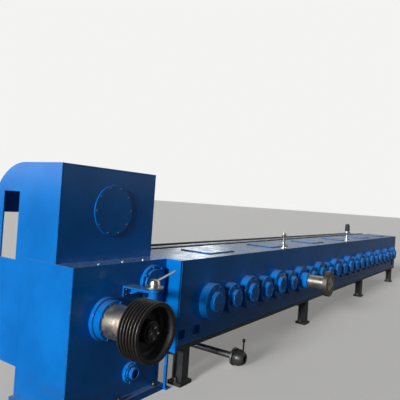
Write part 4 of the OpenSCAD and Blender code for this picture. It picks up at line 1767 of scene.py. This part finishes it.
@dataclass
class BeltDrive:
    """Belt pulley on its bare bearing sleeve, at the front of the gearbox."""

    shop: Shop
    fasteners: Fasteners
    axis_x: float = -0.157
    axis_z: float = 0.661
    washer_r: float = 0.056

    def build(self) -> None:
        """Dress the flange, the sleeve and the pulley."""
        shop = self.shop
        shop.soften("sleeve_flange", PAINT.blue_round, 0.0015)
        sleeve = TurnedSteel(
            "sleeve_steel", "bare_steel", self.axis_x, self.axis_z, 0.0,
            (0.72, 0.63, 0.53), (0.20, 0.100, 0.045), 1.0, 0.30, rings=0.35,
        )
        shop.soften("bearing_sleeve", sleeve, 0.002)
        low, high = shop.box("belt_pulley")
        radius = (high.x - low.x) / 2
        iron = DarkIron("pulley_iron", "dark_iron", self.axis_x, self.axis_z, radius)
        shop.soften("belt_pulley", iron, 0.0012)
        shop.soften("pulley_shaft", PAINT.pipe, 0.002)
        self._flange_bolts()
        self._hub_washer(low.y + 0.040)

    def _flange_bolts(self) -> None:
        """Bolts in the stepped flange."""
        face = self.shop.box("sleeve_flange")[0].y
        self.fasteners.circle(
            "sleeve_flange_bolts", [(self.axis_x, face, self.axis_z)], Facing.FRONT,
            8, 0.2535, (HeadShape.SOCKET, 0.015, 0.008), PAINT.blue_head, first=22.5,
        )

    def _hub_washer(self, face: float) -> None:
        """Washer with four bolts that holds the pulley on its shaft.

        Args:
            face: Place of the hub's face along Y.
        """
        r = self.washer_r
        bm = lathe([(r, 0.0), (r, 0.010), (r - 0.002, 0.012), (0.010, 0.012), (0.0, 0.009)], 64)
        bm.transform(Facing.FRONT.matrix((self.axis_x, face, self.axis_z)))
        iron = DarkIron("washer_iron", "dark_iron", self.axis_x, self.axis_z, 1.0)
        self.shop.add("pulley_hub_washer", bm, iron, PULLEY)
        self.fasteners.circle(
            "pulley_hub_bolts", [(self.axis_x, face - 0.012, self.axis_z)], Facing.FRONT,
            4, 0.068, (HeadShape.HEX_BOLT, 0.020, 0.013), PAINT.dark_zinc, PULLEY, first=-9.0,
        )


@dataclass
class ShiftGear:
    """Wall bracket that carries the shift lever."""

    shop: Shop
    fasteners: Fasteners
    axis_x: float = 0.049
    axis_y: float = -0.504
    plate_z: float = 0.870
    plate_t: float = 0.012
    tube_r: float = 0.036
    seat_z: float = 0.8873
    hub_h: float = 0.058
    shaft_low: float = -0.112
    bar_z: float = 0.0396
    bar_len: float = 0.240
    bar_r: float = 0.008
    bar_tilt: float = 14.0
    bolt_x: tuple[float, float] = (0.012, 0.086)
    bolt_z: tuple[float, float] = (0.842, 0.808)

    def build(self) -> None:
        """Dress the bracket and the lever."""
        shop = self.shop
        shop.soften("shift_bracket", PAINT.blue, 0.0018)
        lever = TurnedSteel(
            "lever_steel", "bare_steel", self.axis_x, self.axis_y, 0.0,
            (0.62, 0.60, 0.56), (0.14, 0.085, 0.045), 0.22, 0.22, upright=True,
        )
        shop.add("dressed_shift_lever", self._lever(), lever, LEVER, ("shift_lever",), smooth=40.0)
        wall = shop.box("shift_bracket")[1].y - self.plate_t
        places = [(x, wall, z) for x in self.bolt_x for z in self.bolt_z]
        self.fasteners.single(
            "bracket_bolts", places, Facing.FRONT, (HeadShape.SOCKET, 0.020, 0.014),
            PAINT.black_screw,
        )
        rings = [
            loop_z((self.axis_x, self.axis_y, z), self.tube_r)
            for z in (self.plate_z - self.plate_t, self.plate_z)
        ]
        self.fasteners.weld("bracket_tube_weld", rings, 0.0035, PAINT.blue_head, ripple=0.005)


    def _lever(self) -> bmesh.types.BMesh:
        """Shaft, disc and hub turned in one, with the bar set into the hub.

        Returns:
            The lever.
        """
        top = self.hub_h
        body = lathe([
            (0.0, self.shaft_low), (0.0135, self.shaft_low), (0.0140, self.shaft_low + 0.0005),
            (0.0140, 0.0), (0.0655, 0.0), (0.0670, 0.0015), (0.0670, 0.0100), (0.0650, 0.0120),
            (0.0420, 0.0120), (0.0420, 0.0220), (0.0430, 0.0230), (0.0425, 0.0280),
            (0.0390, top - 0.0120), (0.0380, top - 0.0090), (0.0330, top - 0.0010),
            (0.0315, top), (0.0, top),
        ], 96)
        r = self.bar_r
        bar = lathe([
            (0.0, 0.030), (r, 0.030), (r, self.bar_len - 0.004), (r - 0.0012, self.bar_len - 0.0012),
            (r - 0.004, self.bar_len), (0.0, self.bar_len),
        ], 32)
        bar.transform(
            Matrix.Translation((0.0, 0.0, self.bar_z))
            @ Matrix.Rotation(math.radians(90.0 - self.bar_tilt), 4, "Y")
        )
        lever = self.shop.merge([body, bar])
        lever.transform(Matrix.Translation((self.axis_x, self.axis_y, self.seat_z)))
        return lever


@dataclass
class GearCase:
    """Long closed gear case with its covers, filler and breather."""

    shop: Shop
    fasteners: Fasteners
    cover_first: float = 1.095
    cover_pitch: float = 1.320
    cover_len: float = 0.440
    cover_y: tuple[float, float] = (-0.268, 0.068)
    covers: int = 6
    filler: Point = (2.500, -0.370, 1.034)
    breather: Point = (5.090, -0.335, 1.034)

    def build(self) -> None:
        """Dress the case, its covers and what stands on top."""
        shop = self.shop
        shop.soften("gear_case", PAINT.blue, 0.003)
        shop.soften("gear_case_end_plates", PAINT.blue, 0.0025)
        shop.soften("top_covers", PAINT.blue, 0.002)
        self._cover_screws()
        self._gaskets_and_shade_lines()
        self._filler()
        self._breather()
        self._welds()

    def _cover_screws(self) -> None:
        """Rows of screws round each top cover."""
        top = self.shop.box("top_covers")[1].z
        inset = 0.020
        y0, y1 = self.cover_y[0] + inset, self.cover_y[1] - inset
        lines = []
        for i in range(self.covers):
            x0 = self.cover_first + i * self.cover_pitch + inset
            x1 = x0 + self.cover_len - 2 * inset
            lines.append([(x0, y0, top), (x1, y0, top)])
            lines.append([(x0, y1, top), (x1, y1, top)])
            lines.append([(x0, y0 + 0.099, top), (x0, y1 - 0.099, top)])
            lines.append([(x1, y0 + 0.099, top), (x1, y1 - 0.099, top)])
        self.fasteners.row(
            "top_cover_screws", lines, Facing.UP, 0.1, (HeadShape.BUTTON, 0.011, 0.003),
            PAINT.blue,
        )

    def _gaskets_and_shade_lines(self) -> None:
        """Dark gasket edge under each cover, partly a real gasket and partly a painted shadow line
        round the cover.
        """
        deck = self.shop.box("top_covers")[0].z
        out = 0.0025
        strips = []
        for i in range(self.covers):
            x0 = self.cover_first + i * self.cover_pitch
            low = (x0 - out, self.cover_y[0] - out, deck)
            high = (x0 + self.cover_len + out, self.cover_y[1] + out, deck + 0.003)
            # Dark outline round the cover: gasket and painted shadow line.
            strips.append(frame_strip(low, high, 0.02))
        self.shop.add("cover_gaskets", self.shop.merge(strips), PAINT.gasket, MACHINE)

    def _filler(self) -> None:
        """Oil filler: flange, neck, collar and a winged cap."""
        x, y, z = self.filler
        turned = TurnedSteel(
            "filler_steel", "bare_steel", x, y, 0.0, (0.60, 0.59, 0.56),
            (0.14, 0.09, 0.05), 0.25, 0.20, upright=True,
        )
        profile = [
            (0.034, 0.0), (0.034, 0.006), (0.032, 0.008), (0.0155, 0.008), (0.014, 0.012),
            (0.014, 0.046), (0.021, 0.050), (0.023, 0.054), (0.023, 0.064), (0.021, 0.068),
            (0.014, 0.072), (0.014, 0.128), (0.016, 0.134), (0.030, 0.140), (0.0325, 0.144),
            (0.0325, 0.150), (0.028, 0.156), (0.018, 0.160), (0.012, 0.166), (0.0, 0.166),
        ]
        body = lathe(profile, 48)
        body.transform(Matrix.Translation(self.filler))
        wings = block((x - 0.035, y - 0.0055, z + 0.158), (x + 0.035, y + 0.0055, z + 0.181), 0.004)
        self.shop.add(
            "filler_with_wings", self.shop.merge([body, wings]), turned, MACHINE, ("oil_filler",)
        )
        self.fasteners.circle(
            "filler_screws", [(x, y, z + 0.008)], Facing.UP, 3, 0.052,
            (HeadShape.SOCKET, 0.009, 0.006), PAINT.zinc, first=20.0,
        )

    def _breather(self) -> None:
        """Breather: steel neck with a collar, and a ribbed black cap."""
        x, y, z = self.breather
        turned = TurnedSteel(
            "breather_steel", "bare_steel", x, y, 0.0, (0.60, 0.59, 0.57),
            (0.14, 0.09, 0.05), 0.2, 0.2, upright=True,
        )
        neck = lathe([
            (0.038, 0.0), (0.038, 0.006), (0.036, 0.008), (0.019, 0.008), (0.017, 0.012),
            (0.017, 0.124), (0.020, 0.130), (0.044, 0.131), (0.046, 0.134), (0.046, 0.158),
            (0.044, 0.161), (0.036, 0.164), (0.0, 0.164),
        ], 64)
        neck.transform(Matrix.Translation(self.breather))
        self.shop.add("breather_neck", neck, turned, MACHINE, ("breather_pipe",))
        cap = lathe([
            (0.031, 0.164), (0.036, 0.168), (0.036, 0.234), (0.0345, 0.240), (0.0345, 0.252),
            (0.033, 0.266), (0.027, 0.275), (0.014, 0.279), (0.0, 0.280),
        ], 64)
        parts = [cap]
        for i in range(16):
            rib = block((0.034, -0.0022, 0.172), (0.0378, 0.0022, 0.232), 0.001)
            rib.transform(Matrix.Rotation(2.0 * math.pi * i / 16, 4, "Z"))
            parts.append(rib)
        ribbed = self.shop.merge(parts)
        ribbed.transform(Matrix.Translation(self.breather))
        self.shop.add("breather_ribbed_cap", ribbed, PAINT.plastic, MACHINE, ("breather_cap",))
        self.fasteners.circle(
            "breather_screws", [(x, y, z + 0.008)], Facing.UP, 4, 0.060,
            (HeadShape.SOCKET, 0.009, 0.006), PAINT.zinc, first=30.0,
        )

    def _welds(self) -> None:
        """Weld beads down the corners at the end plates."""
        low, high = self.shop.box("gear_case")
        lines = []
        for x in (low.x, high.x):
            lines.append([(x, low.y, low.z + 0.01), (x, low.y, high.z - 0.01)])
        self.fasteners.weld("case_corner_welds", lines, 0.0035, PAINT.blue_head)


@dataclass
class BearingRow:
    """The row of stepped bearing caps and the drive input."""

    shop: Shop
    fasteners: Fasteners
    first_x: float = 0.917
    pitch: float = 0.330
    shafts: int = 23
    shaft_z: float = 0.660
    drop: float = 0.012
    front_y: float = -0.408
    cap_t: float = 0.075
    boss_t: float = 0.034
    drive: int = 6

    def build(self) -> None:
        """Dress the caps, their screws and the coupling."""
        shop = self.shop
        shop.soften("capstan_bearing_caps", PAINT.blue_round, 0.0028)
        shop.soften("idler_bearing_caps", PAINT.blue_round, 0.0028)
        shop.soften("input_bearing_housing", PAINT.blue_round, 0.0015)
        mains = [
            self._centre(i, self.drop if i == self.drive else 0.0)
            for i in range(0, self.shafts, 2)
        ]
        idlers = [self._centre(i, self.drop) for i in range(1, self.shafts, 2)]
        head = (HeadShape.SOCKET, 0.015, 0.006)
        self.fasteners.circle(
            "capstan_cap_screws", mains, Facing.FRONT, 8, 0.264, head, PAINT.blue_head, first=22.5
        )
        self.fasteners.circle(
            "idler_cap_screws", idlers, Facing.FRONT, 8, 0.228, head, PAINT.blue_head, first=22.5
        )
        self._bosses()
        self._coupling()

    def _centre(self, index: int, drop: float) -> Point:
        """Centre of a cap's face."""
        return (self.first_x + index * self.pitch, self.front_y - self.cap_t, self.shaft_z - drop)

    def _bosses(self) -> None:
        """Screws in the bosses."""
        out = self.boss_t
        mains = [
            (x, y - out, z)
            for i in range(0, self.shafts, 2)
            if i != self.drive
            for x, y, z in [self._centre(i, 0.0)]
        ]
        idlers = [
            (x, y - out, z)
            for i in range(1, self.shafts, 2)
            for x, y, z in [self._centre(i, self.drop)]
        ]
        head = (HeadShape.SOCKET, 0.012, 0.005)
        self.fasteners.circle(
            "capstan_boss_screws", mains, Facing.FRONT, 6, 0.146, head, PAINT.blue_head
        )
        self.fasteners.circle(
            "idler_boss_screws", idlers, Facing.FRONT, 6, 0.128, head, PAINT.blue_head
        )

    def _coupling(self) -> None:
        """The bare coupling half and the screws round the input shaft."""
        x, y, z = self._centre(self.drive, self.drop)
        steel = TurnedSteel(
            "coupling_steel", "bare_steel", x, z, 0.0, (0.60, 0.56, 0.485),
            (0.13, 0.090, 0.055), 0.45, 0.27, dull_from=0.078,
        )
        self.shop.soften("input_coupling", steel, 0.0015)
        face = self.shop.box("input_bearing_housing")[0].y
        self.fasteners.circle(
            "input_housing_screws", [(x, face, z)], Facing.FRONT, 6, 0.160,
            (HeadShape.SOCKET, 0.015, 0.005), PAINT.blue_head, first=30.0,
        )


@dataclass
class Trough:
    """The drawing trough with its capstans and die holders."""

    shop: Shop
    fasteners: Fasteners
    first_x: float = 0.917
    pitch: float = 0.660
    count: int = 12
    shaft_z: float = 0.660
    capstan_w: float = 0.076

    def build(self) -> None:
        """Dress the walls, the capstans and the die holders."""
        shop = self.shop
        for node in ("trough_floor", "partition_wall", "trough_outer_wall", "trough_far_wall"):
            shop.soften(node, PAINT.blue, 0.0015)
        shop.soften("partition_rail", PAINT.rail, 0.001)
        shop.soften("cover_beam", PAINT.supports, 0.002)
        rings = TurnedSteel(
            "capstan_steel", "hard_ring", self.first_x, self.shaft_z, self.pitch,
            (0.62, 0.62, 0.61), (0.17, 0.12, 0.07), 0.18, 0.17,
        )
        shop.soften("draw_capstans", rings, 0.0012)
        shop.soften("capstan_shafts", PAINT.pipe, 0.0015)
        shop.soften("shaft_seals", PAINT.pipe, 0.0015)
        shop.soften("die_holders", PAINT.rail, 0.0015)
        self._rail_bar_and_shade_strip()
        self._capstan_ends()
        self._seal_bolts()
        self._die_screws()
        self._welds()

    def _rail_bar_and_shade_strip(self) -> None:
        """Ground side bar under the rail, and below it a black strip of painted shade for the
        shadowed gap under the rail.
        """
        low, high = self.shop.box("partition_wall")
        x0, x1, y0, y1 = low.x + 0.020, high.x - 0.020, low.y - 0.003, low.y + 0.001
        top, foot, end = high.z - 0.0005, high.z - 0.010, high.z - 0.060
        bar = block((x0, y0, foot), (x1, y1, top), 0.0005)
        # Black strip of painted shade, standing for the shadowed gap under the rail.
        strip = block((x0, y0, end), (x1, y1, foot - 0.0005), 0.0005)
        self.shop.add("rail_side_bar", bar, PAINT.rail, MACHINE)
        self.shop.add("rail_seal", strip, PAINT.gasket, MACHINE)

    def _axes(self) -> list[float]:
        """Places of the capstans along X."""
        return [self.first_x + i * self.pitch for i in range(self.count)]

    def _capstan_ends(self) -> None:
        """Clamping disc with bolts on each capstan's hub."""
        face = self.shop.box("draw_capstans")[1].y
        discs = []
        for x in self._axes():
            bm = lathe([(0.062, 0.0), (0.062, 0.009), (0.059, 0.012), (0.0, 0.012)], 48)
            bm.transform(Facing.BACK.matrix((x, face, self.shaft_z)))
            discs.append(bm)
        self.shop.add("capstan_clamp_discs", self.shop.merge(discs), PAINT.pipe, MACHINE)
        tops = [(x, face + 0.012, self.shaft_z) for x in self._axes()]
        self.fasteners.circle(
            "capstan_clamp_bolts", tops, Facing.BACK, 6, 0.092,
            (HeadShape.SOCKET, 0.018, 0.012), PAINT.zinc,
        )

    def _seal_bolts(self) -> None:
        """Bolts round the shaft seals."""
        face = self.shop.box("shaft_seals")[1].y
        places = [(x, face, self.shaft_z) for x in self._axes()]
        self.fasteners.circle(
            "seal_bolts", places, Facing.BACK, 8, 0.182,
            (HeadShape.SOCKET, 0.014, 0.009), PAINT.zinc,
        )

    def _die_screws(self) -> None:
        """Screws that hold the die holders' flanges."""
        low, high = self.shop.box("die_holders")
        wall = low.y + 0.016
        middle = (low.z + high.z) / 2
        places = []
        for i in range(13):
            x = self.first_x - self.pitch / 2 + i * self.pitch
            for side in (-1.0, 1.0):
                for rise in (-0.045, 0.045):
                    places.append((x + side * 0.059, wall, middle + rise))
        self.fasteners.single(
            "die_holder_screws", places, Facing.BACK, (HeadShape.SOCKET, 0.016, 0.010), PAINT.zinc
        )

    def _welds(self) -> None:
        """Weld beads along the trough's floor at its two walls."""
        low, high = self.shop.box("trough_floor")
        wall = self.shop.box("trough_outer_wall")
        inner = self.shop.box("partition_wall")
        z = high.z
        lines = [
            [(low.x + 0.01, wall[0].y, z), (wall[1].x - 0.01, wall[0].y, z)],
            [(low.x + 0.01, inner[1].y, z), (inner[1].x - 0.01, inner[1].y, z)],
        ]
        self.fasteners.weld("trough_welds", lines, 0.004, PAINT.blue_head, ripple=0.02)


@dataclass
class Supports:
    """Pedestals, bed rails, end leg and the drain."""

    shop: Shop
    fasteners: Fasteners
    washer_d: float = 0.036
    nut_h: float = 0.034
    drain: Point = (1.326, -0.462, 0.092)

    def build(self) -> None:
        """Dress the supports and the drain."""
        shop = self.shop
        nodes = ["pedestal_1", "pedestal_2", "pedestal_3", "pedestal_4"]
        for node in nodes:
            shop.soften(node, PAINT.supports, 0.003)
        shop.soften("bed_rails", PAINT.supports, 0.003)
        shop.soften("end_leg", PAINT.blue, 0.002)
        shop.soften("drain_pipe", PAINT.pipe, 0.0015)
        shop.soften("drain_riser", PAINT.pipe, 0.001)
        shop.soften("drain_valve", PAINT.valve, 0.0015)
        self._anchors(nodes)
        self._drain_bolts()

    def _anchors(self, nodes: Sequence[str]) -> None:
        """Anchor nuts on the foot plates and weld beads round the posts.

        Args:
            nodes: The pedestals.
        """
        places = []
        beads = []
        for node in nodes:
            low, high = self.shop.box(node)
            middle = (low.x + high.x) / 2
            for y0 in (low.y + 0.017, high.y - 0.017 - 0.100):
                y1 = y0 + 0.100
                for side in (-1.0, 1.0):
                    places.append((middle + side * 0.062, (y0 + y1) / 2, 0.030))
                x0, x1 = middle - 0.045, middle + 0.045
                beads.append([
                    (x0, y0, 0.030), (x1, y0, 0.030), (x1, y1, 0.030), (x0, y1, 0.030),
                    (x0, y0, 0.030),
                ])
        head = (HeadShape.STUD_NUT, self.washer_d, self.nut_h)
        self.fasteners.single("pedestal_anchor_nuts", places, Facing.UP, head, PAINT.dark_zinc)
        self.fasteners.weld("pedestal_welds", beads, 0.004, PAINT.supports)

    def _drain_bolts(self) -> None:
        """Bolts at the back of the drain's flange."""
        self.fasteners.circle(
            "drain_bolts", [self.drain], Facing.BACK, 4, 0.125,
            (HeadShape.HEX_BOLT, 0.028, 0.014), PAINT.zinc, first=45.0,
        )


# ---------------------------------------------------------------- the studio


@dataclass
class Studio:
    """Floor, backdrop light, lamps and camera."""

    shop: Shop
    camera_place: Point = (-2.343, -2.490, 1.504)
    yaw: float = 34.637
    pitch: float = 0.270
    roll: float = 4.007
    lens: float = 40.14
    floor_colour: Point = (0.66, 0.65, 0.63)
    floor_glow: float = 0.30
    key_strength: float = 3.6
    fill_strength: float = 0.06
    back_strength: float = 0.5
    ambient: float = 0.07
    window: float = 4.4

    def build(self) -> None:
        """Set up the whole studio."""
        self._floor()
        self._world()
        self._lamp("key", (1.0, 0.056, -0.24), self.key_strength, 11.0)
        self._lamp("fill", (0.35, 1.0, -0.75), self.fill_strength, 70.0)
        self._lamp("back", (-0.25, -0.95, -0.35), self.back_strength, 40.0)
        self._camera()
        view = bpy.context.scene.view_settings
        view.view_transform = "Standard"

    def _floor(self) -> None:
        """A wide pale floor."""
        bm = bmesh.new()
        bmesh.ops.create_grid(bm, x_segments=1, y_segments=1, size=400.0)
        mesh = bpy.data.meshes.new("studio_floor")
        bm.to_mesh(mesh)
        bm.free()
        floor = bpy.data.objects.new("studio_floor", mesh)
        bpy.context.scene.collection.objects.link(floor)
        material = bpy.data.materials.new("studio_floor")
        material.use_nodes = True
        b = TreeBuilder(material.node_tree)
        place = b.out(b.add("ShaderNodeTexCoord"), "Object")
        path = b.add("ShaderNodeLightPath")
        glossy = b.out(path, "Is Glossy Ray")
        direct = (b.out(path, "Is Camera Ray") + b.out(path, "Is Transmission Ray")).at_most(1.0)
        seen = (direct + glossy).at_most(1.0)
        cloud = b.noise(place, 0.8, 4.0, 0.5)
        pale = b.tint(cloud * 0.12, self.floor_colour, (0.52, 0.51, 0.49))
        base = b.tint(glossy, b.tint(seen, (0.06, 0.06, 0.06), pale), (0.14, 0.14, 0.137))
        values = {
            "Base Color": base,
            "Roughness": 0.8,
            "Specular IOR Level": 0.1,
            "Emission Color": pale,
            "Emission Strength": (direct + 0.3 * glossy).at_most(1.0) * self.floor_glow,
        }
        shader = b.out(b.add("ShaderNodeBsdfPrincipled", None, values))
        b.add("ShaderNodeOutputMaterial", None, {"Surface": shader})
        mesh.materials.append(material)

    def _world(self) -> None:
        """Pale backdrop, with a dim side behind the camera for reflections."""
        world = bpy.data.worlds.new("studio")
        bpy.context.scene.world = world
        world.use_nodes = True
        b = TreeBuilder(world.node_tree)
        path = b.add("ShaderNodeLightPath")
        camera = b.out(path, "Is Camera Ray") + b.out(path, "Is Transmission Ray")
        glossy = b.out(path, "Is Glossy Ray")
        direction = b.out(b.add("ShaderNodeTexCoord"), "Generated")
        x, y, z = b.parts(direction)
        behind = (y + 0.35 * z).span(0.02, 0.42) * x.span(-0.15, 0.35)
        window = (0.72 * y - 0.69 * x).span(0.60, 0.93) * z.span(-0.01, 0.08)
        window = window * (1.0 - z.span(0.30, 0.55))
        ahead = x.span(0.2, 0.6) * (0.0 - y).span(0.2, 0.5) * z.span(-0.04, 0.10)
        pane = (0.816 * x + 0.560 * y + 0.143 * z).span(0.9975, 0.9992)
        mirror = 0.035 + 0.62 * behind + self.window * window + 1.25 * ahead + 4.0 * pane
        level = self.ambient * (1.0 - glossy) + glossy * mirror
        strength = camera.at_most(1.0) + (1.0 - camera.at_most(1.0)) * level
        colour = b.tint(camera.at_most(1.0), (0.90, 0.96, 1.0), (0.90, 0.90, 0.89))
        shader = b.out(
            b.add("ShaderNodeBackground", None, {"Color": colour, "Strength": strength})
        )
        b.add("ShaderNodeOutputWorld", None, {"Surface": shader})

    @staticmethod
    def _lamp(name: str, way: Point, strength: float, angle: float) -> None:
        """Add a soft distant lamp.

        Args:
            name: Its name.
            way: Direction that its light travels in.
            strength: Its strength.
            angle: Its width in degrees.
        """
        data = bpy.data.lights.new(name, "SUN")
        data.energy = strength
        data.angle = math.radians(angle)
        lamp = bpy.data.objects.new(name, data)
        lamp.rotation_euler = Vector(way).to_track_quat("-Z", "Y").to_euler()
        bpy.context.scene.collection.objects.link(lamp)

    def _camera(self) -> None:
        """The camera at the photograph's place and angle."""
        yaw, pitch, roll = (math.radians(a) for a in (self.yaw, self.pitch, self.roll))
        ahead = Vector((math.cos(yaw), math.sin(yaw), 0.0))
        up = Vector((0.0, 0.0, 1.0))
        right = Vector((math.sin(yaw), -math.cos(yaw), 0.0))
        forward = ahead * math.cos(pitch) + up * math.sin(pitch)
        lifted = up * math.cos(pitch) - ahead * math.sin(pitch)
        side = right * math.cos(roll) + lifted * math.sin(roll)
        top = lifted * math.cos(roll) - right * math.sin(roll)
        data = bpy.data.cameras.new("camera")
        data.lens = self.lens
        data.sensor_width = 36.0
        data.clip_end = 1500.0
        camera = bpy.data.objects.new("camera", data)
        matrix = Matrix((side, top, -forward)).transposed().to_4x4()
        matrix.translation = Vector(self.camera_place)
        camera.matrix_world = matrix
        bpy.context.scene.collection.objects.link(camera)
        bpy.context.scene.camera = camera


def main() -> None:
    """Build the sub-assemblies in order, then the studio."""
    logging.basicConfig(level=logging.INFO, format="%(message)s")
    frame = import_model()
    shop = Shop(frame)
    fasteners = Fasteners(shop)
    builders: list[Any] = [
        TakeoffGearbox(shop, fasteners),
        Hood(shop, fasteners),
        WheelChamber(shop, fasteners),
        BeltDrive(shop, fasteners),
        ShiftGear(shop, fasteners),
        GearCase(shop, fasteners),
        BearingRow(shop, fasteners),
        Trough(shop, fasteners),
        Supports(shop, fasteners),
    ]
    for builder in builders:
        LOG.info("building %s", type(builder).__name__)
        builder.build()
    shop.close()
    Studio(shop).build()


if __name__ == "__main__":
    main()
